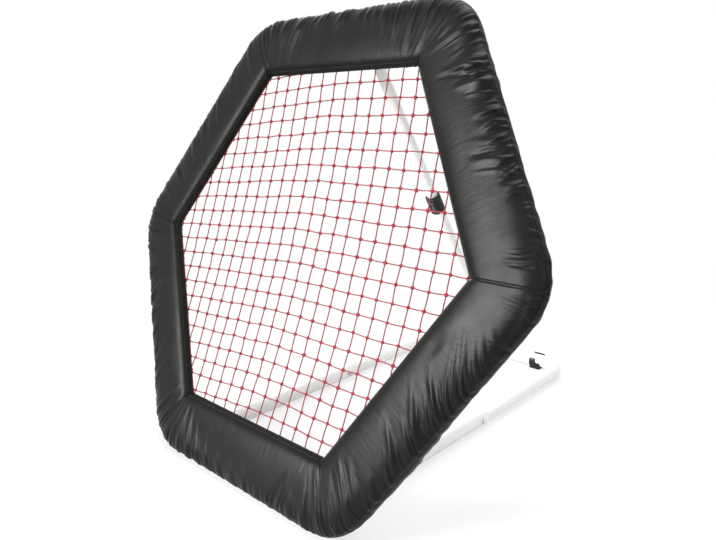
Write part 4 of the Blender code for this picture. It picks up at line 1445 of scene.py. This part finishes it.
@dataclass
class Net:
    """The knotted square net, with a cord along each row and column and a border cord in the hem.

    Attributes:
        layout: Where the panel is.
        edge: The distance from the middle to the border cord.
        plane: How deep the net lies.
        columns: How many columns cross the opening.
        rows: How many rows cross it.
        pitch: The distance between columns.
        rise: The distance between rows.
        cord: The cords' radius.
        border: The border cord's radius.
        middle: How far across the middle column is.
        lean: How much the columns lean.
        bow: How much they bow.
        narrowing: How much the outer meshes are narrower.
        droop: How much the rows droop at the left.
        loop: A knot's half width, half height and twist.
        loop_cord: The radius of the cord in a knot.
        seed: Where its random draws start.
    """

    layout: Layout
    edge: float = 0.2698
    plane: float = 0.0043
    columns: int = 25
    rows: int = 23
    pitch: float = 0.02635
    rise: float = 0.02485
    cord: float = 0.00085
    border: float = 0.0020
    middle: float = 0.0165
    lean: float = 0.0225
    bow: float = 0.225
    narrowing: float = 0.00004
    droop: float = 0.075
    loop: Triple = (0.0019, 0.0017, 0.0004)
    loop_cord: float = 0.0012
    seed: int = 5

    def column(self, number: float, height: float) -> float:
        """Returns how far across a column is at a height, both from the middle."""
        middle = self.middle - self.lean * height - self.bow * height**2
        return middle + number * self.pitch - self.narrowing * number**2

    def row(self, number: float, across: float) -> float:
        """Returns how high a row is at a place across, both from the middle."""
        return number * self.rise + self.droop * min(0.0, across)

    def inside(self, across: float, height: float) -> bool:
        """Says whether a place is within the border.

        Args:
            across: How far across it is, from the middle.
            height: How high it is, from the middle.

        Returns:
            Whether it is inside.
        """
        for side in Side:
            turn = math.radians(60) * side.value
            if across * math.sin(turn) - height * math.cos(turn) > self.edge:
                return False
        return True

    def crossing(self, column: float, row: float) -> Pair:
        """Works out where a column meets a row.

        Args:
            column: The column's number.
            row: The row's number.

        Returns:
            How far across and how high they meet, from the middle.
        """
        across, height = column * self.pitch, row * self.rise
        for _ in range(8):
            across = self.column(column, height)
            height = self.row(row, across)
        return across, height

    def build(self, finishes: Finishes) -> None:
        """Makes the cords, the knots and the border cord.

        Args:
            finishes: Every finish.
        """
        rng = np.random.RandomState(self.seed)
        columns, rows = self.columns + 4, self.rows + 4
        low_column, low_row = (1 - columns) / 2, (1 - rows) / 2
        knots: dict[tuple[int, int], Vector] = {}
        for i in range(columns):
            for j in range(rows):
                across, height = self.crossing(low_column + i, low_row + j)
                jitter = rng.uniform(-0.0008, 0.0008, 2)
                depth = self.plane + rng.uniform(-0.0005, 0.0005)
                knots[i, j] = Vector((across + jitter[0], depth, self.layout.apothem + height + jitter[1]))
        lines = [[knots[i, j] for j in range(rows)] for i in range(columns)]
        lines += [[knots[i, j] for i in range(columns)] for j in range(rows)]
        runs = [run for run in (self.clip(line) for line in lines) if len(run) > 1]
        points, faces, uv = sweep([self.slack(run, rng) for run in runs], self.cord, 7)
        net = mesh_piece("net_cords", points, faces, uv)
        net.data.transform(self.layout.panel_matrix())
        dress(net, finishes.cord, Body.PANEL, "net_cord", "net")
        inner = [spot for spot in knots.values() if self.inside_spot(spot)]
        self.tie(inner, [run[0] for run in runs] + [run[-1] for run in runs], finishes, rng)
        self.rope(finishes, rng)

    def inside_spot(self, spot: Vector) -> bool:
        """Says whether a knot lies within the border."""
        return self.inside(spot.x, spot.z - self.layout.apothem)

    def clip(self, line: list[Vector]) -> list[Vector]:
        """Cuts a cord's line to the border.

        Args:
            line: The knots along it, some beyond the border.

        Returns:
            The knots within, with an end on the border at each side.
        """
        kept: list[Vector] = []
        for first, second in zip(line, line[1:]):
            a, b = self.inside_spot(first), self.inside_spot(second)
            if a and not kept:
                kept.append(first)
            if a != b:
                near, far = (first, second) if a else (second, first)
                for _ in range(18):
                    middle = (near + far) / 2
                    near, far = (middle, far) if self.inside_spot(middle) else (near, middle)
                kept.append(near.copy())
            if b:
                kept.append(second)
        return kept

    def slack(self, run: list[Vector], rng: np.random.RandomState) -> list[Vector]:
        """Adds two points between knots, a little off the straight line.

        Args:
            run: The knots along a cord.
            rng: A seeded source.

        Returns:
            The cord's points.
        """
        path = [run[0]]
        for first, second in zip(run, run[1:]):
            across, depth = rng.uniform(-0.0005, 0.0005), rng.uniform(-0.0004, 0.0004)
            off = Vector((across, depth, rng.uniform(-0.0007, 0.0003)))
            path += [first.lerp(second, 0.33) + off, first.lerp(second, 0.67) + off, second]
        return path

    def knot_form(self) -> tuple[np.ndarray, list[tuple[int, ...]], np.ndarray]:
        """Makes one knot: two turns of cord drawn tight round a crossing.

        Returns:
            The knot's points, faces and UVs.
        """
        wide, high, wave = self.loop
        paths = []
        for tilt in (0.7, -0.7):
            lay = Matrix.Rotation(math.pi / 2 + tilt, 3, "X") @ Matrix.Rotation(tilt, 3, "Z")
            turns = [math.tau * k / 9 for k in range(9)]
            spots = [Vector((math.cos(t) * wide, math.sin(t) * high, wave * math.sin(2 * t))) for t in turns]
            paths.append([lay @ spot for spot in spots])
        return sweep(paths, self.loop_cord, 5, cyclic=True)

    def tie(
        self, spots: list[Vector], ends: list[Vector], finishes: Finishes, rng: np.random.RandomState
    ) -> None:
        """Ties a knot at each crossing and a hitch at each end.

        Args:
            spots: The crossings.
            ends: The cords' ends on the border.
            finishes: Every finish.
            rng: A seeded source.
        """
        shape, faces, uv = self.knot_form()
        for name, places, size in (("net_knots", spots, 1.0), ("net_border_hitches", ends, 1.15)):
            points, all_faces, all_uv = [], [], []
            for number, spot in enumerate(places):
                roll = Matrix.Rotation(rng.uniform(-0.5, 0.5), 3, "Y")
                turn = roll @ Matrix.Rotation(rng.uniform(-0.4, 0.4), 3, "Z")
                placed = np.array(turn) * size * rng.uniform(0.9, 1.1)
                points.append(shape @ placed.T + np.array(spot))
                all_faces += [tuple(i + number * len(shape) for i in face) for face in faces]
                all_uv.append(uv)
            piece = mesh_piece(name, np.concatenate(points), all_faces, np.concatenate(all_uv))
            piece.data.transform(self.layout.panel_matrix())
            dress(piece, finishes.knot, Body.PANEL, "net_cord")

    def rope(self, finishes: Finishes, rng: np.random.RandomState) -> None:
        """Lays the border cord in the hem, round the six sides.

        Args:
            finishes: Every finish.
            rng: A seeded source.
        """
        corner = self.edge / math.cos(math.radians(30))
        path: list[Vector] = []
        for side in range(len(Side)):
            first = -math.pi / 2 + math.radians(60) * (side - 0.5)
            second = first + math.radians(60)
            start = Vector((corner * math.cos(first), 0, corner * math.sin(first)))
            end = Vector((corner * math.cos(second), 0, corner * math.sin(second)))
            for k in range(16):
                share = 0.015 + 0.97 * k / 15
                spot = start.lerp(end, share)
                spot.y = self.plane + rng.uniform(-0.0002, 0.0002)
                spot.z += self.layout.apothem
                path.append(spot)
        points, faces, uv = sweep([path], self.border, 12, cyclic=True)
        piece = mesh_piece("net_border_cord", points, faces, uv)
        piece.data.transform(self.layout.panel_matrix())
        dress(piece, finishes.cord, Body.PANEL, "net_cord", "net_border_rope")


@dataclass
class Stitches:
    """The thread that holds the cover's hem: a row of stitches round the opening, on the settled cloth.

    Attributes:
        layout: Where the panel is.
        inset: How far from the outer seam the row is.
        pitch: The distance between stitches.
        long: A stitch's length.
        thread: The thread's radius.
        crown: How far a stitch stands out of the cloth, as a scale for its path.
        stand_off: How far in front of the panel the cloth is looked for.
    """

    layout: Layout
    inset: float = 0.0930
    pitch: float = 0.0046
    long: float = 0.0032
    thread: float = 0.00032
    crown: float = 0.00034
    stand_off: float = 0.08

    def build(self, cover: bpy.types.Object, finishes: Finishes) -> None:
        """Makes the row.

        Args:
            cover: The finished cover.
            finishes: Every finish.
        """
        corners = [vertex.co for vertex in cover.data.vertices]
        cloth = BVHTree.FromPolygons(corners, [face.vertices for face in cover.data.polygons])
        place = self.layout.panel_matrix()
        look = (place.to_3x3() @ Vector((0, 1, 0))).normalized()
        reach = (self.layout.apothem - self.inset) * SLOPE - self.pitch
        count = int(2 * reach / self.pitch)
        paths: list[list[Vector]] = []
        for side in Side:
            turn = place @ self.layout.side_matrix(side)
            for number in range(count):
                start = -reach + number * self.pitch
                spots = []
                for share, rise in ((0.0, -0.6), (0.2, 0.8), (0.8, 0.8), (1.0, -0.6)):
                    eye = turn @ Vector((start + share * self.long, -self.stand_off, self.inset))
                    hit, normal, _, _ = cloth.ray_cast(eye, look)
                    if hit is not None:
                        spots.append(hit + normal * self.crown * rise)
                if len(spots) == 4:
                    paths.append(spots)
        points, faces, uv = sweep(paths, self.thread, 5)
        row = mesh_piece("cover_hem_stitches", points, faces, uv)
        dress(row, finishes.thread, Body.PANEL, "cover_fabric")


@dataclass
class Stand:
    """The U-shaped tube stand: two legs, the bent rear tube that plugs into them, its clips and screws.

    Attributes:
        layout: Where the stand is.
        radius: The tubes' radius.
        wall: Their wall.
        half: How far each leg is from the middle.
        bend: The radius of the rear tube's bends.
        joint: Where the rear tube meets the legs.
        leg_end: How far the legs reach past the hinge.
        joint_gap: The gap at that joint.
        rivet: The radius of the rear bar's rivet.
        rivet_place: How far across it is.
        rivet_proud: How far it stands out.
        rivet_sunk: How far it goes in.
        rivet_turn: How far forward of the top of the bar it is.
        sides: How many faces a tube has round.
    """

    layout: Layout
    radius: float = 0.0125
    wall: float = 0.0015
    half: float = 0.1575
    bend: float = 0.045
    joint: float = 0.04972
    leg_end: float = 0.009
    joint_gap: float = 0.0003
    rivet: float = 0.0018
    rivet_place: float = 0.080
    rivet_proud: float = 0.0004
    rivet_sunk: float = 0.0012
    rivet_turn: float = math.radians(72)
    sides: int = 40

    def build(self, finishes: Finishes) -> None:
        """Makes each piece of the stand.

        Args:
            finishes: Every finish.
        """
        dress(self.rear_tube(), finishes.paint, Body.STAND, "white_paint", "stand_rear_u")
        for name, x in (("left", -self.half), ("right", self.half)):
            dress(self.leg(name, x), finishes.paint, Body.STAND, "white_paint", f"stand_leg_{name}")
        dress(self.bar_rivet(), finishes.zinc, Body.STAND, "zinc")
        for node in ("leg_plug_left", "leg_plug_right", "rear_foot_left", "rear_foot_right"):
            refinish(node, finishes.plastic)
        for side in ("left", "right"):
            for kind in ("hinge_bolt", "hinge_nut", "leg_screw", "leg_nut"):
                refinish(f"{kind}_{side}", finishes.zinc)

    def rear_tube(self) -> bpy.types.Object:
        """Makes the bent tube: a ring pulled along the legs and spun round each corner.

        Returns:
            The tube.
        """
        _, back, z = self.layout.bar
        start, quarter = (self.half, self.joint, z), math.pi / 2
        tube = Bench.ring("rear_tube", self.radius, start, self.sides, (quarter, 0, 0))
        Bench.extrude((0, back - self.bend - self.joint, 0))
        inner = self.half - self.bend
        bpy.ops.mesh.spin(steps=12, angle=-quarter, center=(inner, back - self.bend, z), axis=(0, 0, 1))
        Bench.extrude((-2 * inner, 0, 0))
        bpy.ops.mesh.spin(steps=12, angle=-quarter, center=(-inner, back - self.bend, z), axis=(0, 0, 1))
        Bench.extrude((0, self.joint - back + self.bend, 0))
        return self.hollow(tube)

    def bar_rivet(self) -> bpy.types.Object:
        """Makes the flat-headed rivet on the front of the rear bar.

        Returns:
            The rivet.
        """
        out = Vector((0, -math.sin(self.rivet_turn), math.cos(self.rivet_turn)))
        middle = Vector((self.rivet_place, *self.layout.bar[1:]))
        start, end = (middle + out * (self.radius + off) for off in (-self.rivet_sunk, self.rivet_proud))
        head = Bench.cylinder("rear_bar_rivet", self.rivet, start, end, 20)
        return Bench.finish(head, bevel=0.0002)

    def leg(self, name: str, x: float) -> bpy.types.Object:
        """Makes a straight leg.

        Args:
            name: Which leg.
            x: Its place across.

        Returns:
            The leg.
        """
        z, front = self.layout.bar[2], self.layout.hinge[1] - self.leg_end
        tube = Bench.ring(f"leg_{name}", self.radius, (x, front, z), self.sides, (math.pi / 2, 0, 0))
        Bench.extrude((0, self.joint - self.joint_gap - front, 0))
        return self.hollow(tube)

    def hollow(self, tube: bpy.types.Object) -> bpy.types.Object:
        """Gives a tube its wall, with rounded rims.

        Args:
            tube: The outside, open at both ends, in edit mode.

        Returns:
            The tube.
        """
        Bench.settle(tube)
        with shaping(tube.data) as shape:
            bmesh.ops.remove_doubles(shape, verts=shape.verts, dist=1e-5)
            bmesh.ops.recalc_face_normals(shape, faces=shape.faces)
            face = max(shape.faces, key=lambda item: item.calc_center_median().z)
            if face.normal.z < 0:
                bmesh.ops.reverse_faces(shape, faces=shape.faces)
        Bench.pick(tube)
        wall = tube.modifiers.new("wall", "SOLIDIFY")
        wall.thickness = self.wall
        wall.offset = -1
        bpy.ops.object.modifier_apply(modifier=wall.name)
        return Bench.finish(tube, bevel=0.0003, angle=50)


@dataclass
class Strut:
    """The telescopic strut and its twist-lock collar, made along -Z from the top pivot.

    Attributes:
        layout: Where the strut is.
        upper: The upper tube's radius.
        lower: The lower tube's radius.
        collar_top: How far down the collar starts.
        collar_long: The collar's length.
        collar: Its radius.
        upper_bore: The upper tube's inner radius.
        upper_start: How far down the upper tube starts.
        upper_end: How far down it ends, inside the lower one.
        collar_lip: How long the collar's narrow mouth is.
        foot_reach: How far above the rear bar the lower tube ends.
        play: How loosely the upper tube runs in the lower one and in the collar.
        gap: The gap between the collar and the lower tube.
        ribs: How many grooves the grip has.
        rib_depth: How deep they are.
    """

    layout: Layout
    upper: float = 0.0095
    lower: float = 0.0112
    collar_top: float = 0.3065
    collar_long: float = 0.035
    collar: float = 0.0135
    upper_bore: float = 0.0083
    upper_start: float = 0.0163
    upper_end: float = 0.397
    collar_lip: float = 0.0055
    foot_reach: float = 0.053
    play: float = 0.0004
    gap: float = 0.0003
    ribs: int = 8
    rib_depth: float = 0.0007

    def build(self, finishes: Finishes) -> None:
        """Makes each piece of the strut.

        Args:
            finishes: Every finish.
        """
        place = self.layout.strut_matrix()
        top, end = -self.upper_start, -self.upper_end
        upper = self.tube("strut_inner_tube", self.upper, self.upper_bore, top, end)
        dress(upper, finishes.paint, Body.STRUT_UPPER, "white_paint", "strut_upper_tube")
        top = -(self.collar_top + self.collar_lip + self.gap)
        end = self.foot_reach - self.layout.strut_length()
        lower = self.tube("strut_outer_tube", self.lower, self.upper + self.play, top, end)
        dress(lower, finishes.paint, Body.STRUT_LOWER, "white_paint", "strut_lower_tube")
        self.make_collar(finishes, place)
        refinish("strut_foot", finishes.plastic)
        refinish("strut_top_eye", finishes.plastic)

    def tube(self, name: str, radius: float, bore: float, top: float, end: float) -> bpy.types.Object:
        """Makes one of the strut's tubes, in its place.

        Args:
            name: Its name.
            radius: Its outer radius.
            bore: Its inner radius.
            top: The height of its upper end, below the top pivot.
            end: The height of its lower end.

        Returns:
            The tube.
        """
        piece = Bench.turned(name, [(radius, top), (radius, end), (bore, end), (bore, top)], 36)
        return Bench.finish(Bench.settle(piece, self.layout.strut_matrix()), bevel=0.0003)

    def make_collar(self, finishes: Finishes, place: Matrix) -> None:
        """Turns the collar with its grip ribs.

        Args:
            finishes: Every finish.
            place: The strut's place.
        """
        top, bottom = -self.collar_top, -(self.collar_top + self.collar_long)
        chamfer, plain_top, plain = 0.001, 0.006, 0.010
        rings = [(self.collar - chamfer, top), (self.collar, top - chamfer)]
        pitch = (self.collar_long - plain) / self.ribs
        groove = self.collar - self.rib_depth
        for rib in range(self.ribs):
            start = top - plain_top - pitch * rib
            rings += [(self.collar, start), (groove, start - pitch * 0.2)]
            rings += [(groove, start - pitch * 0.5), (self.collar, start - pitch * 0.7)]
        rings += [(self.collar, bottom + chamfer), (self.collar - chamfer, bottom)]
        wide, narrow, lip = self.lower + self.gap, self.upper + self.play, top - self.collar_lip
        rings += [(wide, bottom), (wide, lip), (narrow, lip), (narrow, top)]
        collar = Bench.turned("twist_collar", rings, 44)
        Bench.finish(Bench.settle(collar, place), angle=40)
        dress(collar, finishes.plastic, Body.COLLAR, "black_plastic", "strut_collar")


class Inside:
    """What the cover hides or only just shows: the frame, its elbows, the brackets and the top bolt."""

    @staticmethod
    def build(frame: dict, finishes: Finishes) -> None:
        """Gives each of those CAD nodes its finish.

        Args:
            frame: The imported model.
            finishes: Every finish.
        """
        for name in frame["nodes"]:
            if name.startswith(("frame_tube", "hinge_bracket", "top_bracket")):
                refinish(name, finishes.paint)
            elif name.startswith("corner_elbow"):
                refinish(name, finishes.plastic)
            elif name in ("top_bolt", "top_nut"):
                refinish(name, finishes.zinc)


@dataclass
class Studio:
    """The pale floor, the soft lamps and the camera.

    Attributes:
        focal: The camera's focal length, in pixels of the photograph.
        width: The photograph's width, in pixels.
        place: The camera's place.
        yaw: How far it is turned from +Y towards +X.
        pitch: How far it looks down.
        roll: How far it is tilted.
        sensor: The sensor's width, in millimetres.
        room: How bright the surroundings are as a light.
    """

    focal: float = 658.21
    width: float = 716.0
    place: Triple = (0.72054, -0.84636, 0.534)
    yaw: float = -0.7602
    pitch: float = 0.24203
    roll: float = 0.01803
    sensor: float = 36.0
    room: float = 0.24

    def camera(self) -> None:
        """Sets the camera at the photograph's place and angle."""
        data = bpy.data.cameras.new("camera")
        data.sensor_width = self.sensor
        data.sensor_fit = "HORIZONTAL"
        data.lens = self.focal * self.sensor / self.width
        data.dof.use_dof = False
        data.clip_start, data.clip_end = 0.05, 50
        camera = link("camera", data)
        flat = math.cos(self.pitch)
        forward = Vector((math.sin(self.yaw) * flat, math.cos(self.yaw) * flat, -math.sin(self.pitch)))
        right = Vector((math.cos(self.yaw), -math.sin(self.yaw), 0))
        down = forward.cross(right)
        turned_right = right * math.cos(self.roll) + down * math.sin(self.roll)
        turned_down = down * math.cos(self.roll) - right * math.sin(self.roll)
        matrix = Matrix((turned_right, -turned_down, -forward)).transposed().to_4x4()
        camera.matrix_world = Matrix.Translation(self.place) @ matrix
        bpy.context.scene.camera = camera

    def lamp(
        self,
        name: str,
        place: Triple,
        size: Pair,
        power: float,
        target: Triple = (0, -0.1, 0.3),
        spread: float = 180.0,
    ) -> None:
        """Adds a soft box.

        Args:
            name: Its name.
            place: Where it is.
            size: Its width and height.
            power: Its power in watts.
            target: Where it points.
            spread: How wide its beam is, in degrees.
        """
        data = bpy.data.lights.new(name, "AREA")
        data.spread = math.radians(spread)
        data.shape = "RECTANGLE"
        data.size, data.size_y = size
        data.energy = power
        lamp = link(name, data)
        lamp.location = place
        lamp.rotation_euler = (Vector(target) - Vector(place)).to_track_quat("-Z", "Y").to_euler()

    def build(self) -> None:
        """Sets the camera, the floor, the world and the lamps."""
        scene = bpy.context.scene
        scene.view_settings.view_transform = "Standard"
        self.camera()
        Bench.clear()
        bpy.ops.mesh.primitive_plane_add(size=60, location=(0, 0, 0))
        floor = bpy.context.object
        floor.name = "floor"
        floor.data.materials.append(self.floor_finish())
        scene.world = self.world()
        self.lamp("front", (-0.76, -2.06, 1.06), (0.9, 1.5), 12.6, (0.46, -0.1, 0.20), 52)
        self.lamp("right", (2.4, -0.9, 1.9), (1.5, 1.5), 14)
        self.lamp("top", (0.1, 0.4, 3.0), (2.0, 2.0), 66)
        self.lamp("fill", (-1.7, 1.5, 1.3), (1.6, 1.6), 26)

    def world(self) -> bpy.types.World:
        """Makes the surroundings: white to the camera and in reflections, dim as a light.

        Returns:
            The world.
        """
        world = bpy.data.worlds.new("studio")
        world.use_nodes = True
        nodes, links = world.node_tree.nodes, world.node_tree.links
        room, white = nodes["Background"], nodes.new("ShaderNodeBackground")
        for background, strength in ((room, self.room), (white, 1.0)):
            background.inputs["Color"].default_value = (1, 1, 1, 1)
            background.inputs["Strength"].default_value = strength
        paths = nodes.new("ShaderNodeLightPath")
        shown = paths.outputs["Is Camera Ray"]
        for ray in ("Is Transmission Ray", "Is Glossy Ray"):
            either = nodes.new("ShaderNodeMath")
            either.operation = "MAXIMUM"
            links.new(shown, either.inputs[0])
            links.new(paths.outputs[ray], either.inputs[1])
            shown = either.outputs["Value"]
        mix = nodes.new("ShaderNodeMixShader")
        links.new(shown, mix.inputs["Fac"])
        links.new(room.outputs["Background"], mix.inputs[1])
        links.new(white.outputs["Background"], mix.inputs[2])
        links.new(mix.outputs["Shader"], nodes["World Output"].inputs["Surface"])
        return world

    @staticmethod
    def floor_finish() -> bpy.types.Material:
        """Makes the floor's white, which the camera sees as the backdrop's white.

        Returns:
            The finish.
        """
        shader = Shader("pale_floor")
        shader.set(Base_Color=(0.93, 0.93, 0.93, 1), Roughness=0.9, Specular_IOR_Level=0.1)
        glow = shader.add("ShaderNodeEmission", Strength=1.0)
        paths = shader.add("ShaderNodeLightPath")
        mix = shader.add("ShaderNodeMixShader")
        far = shader.add("ShaderNodeVectorMath", operation="LENGTH")
        shader.wire(shader.coordinates.outputs["Object"], far.inputs[0])
        glare = shader.ramp(far.outputs["Value"], (0.45, 0.68), (1.2, 1.0))
        share = shader.add("ShaderNodeMath", operation="MULTIPLY")
        shader.wire(paths.outputs["Is Camera Ray"], share.inputs[0])
        shader.wire(glare, share.inputs[1])
        shader.wire(share.outputs["Value"], mix.inputs["Fac"])
        shader.wire(shader.principled.outputs["BSDF"], mix.inputs[1])
        shader.wire(glow.outputs["Emission"], mix.inputs[2])
        shader.wire(mix.outputs["Shader"], shader.tree.nodes["Material Output"].inputs["Surface"])
        return shader.material


def main() -> None:
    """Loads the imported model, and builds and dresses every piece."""
    logging.basicConfig(level=logging.INFO, format="%(name)s: %(message)s")
    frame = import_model()
    layout = Layout()
    Studio().build()
    finishes = Finishes()
    Inside.build(frame, finishes)
    Stand(layout).build(finishes)
    Strut(layout).build(finishes)
    Net(layout).build(finishes)
    cover = Sleeve(layout).build(finishes.cloth)
    Stitches(layout).build(cover, finishes)
    Bench.clear()


if __name__ == "__main__":
    main()
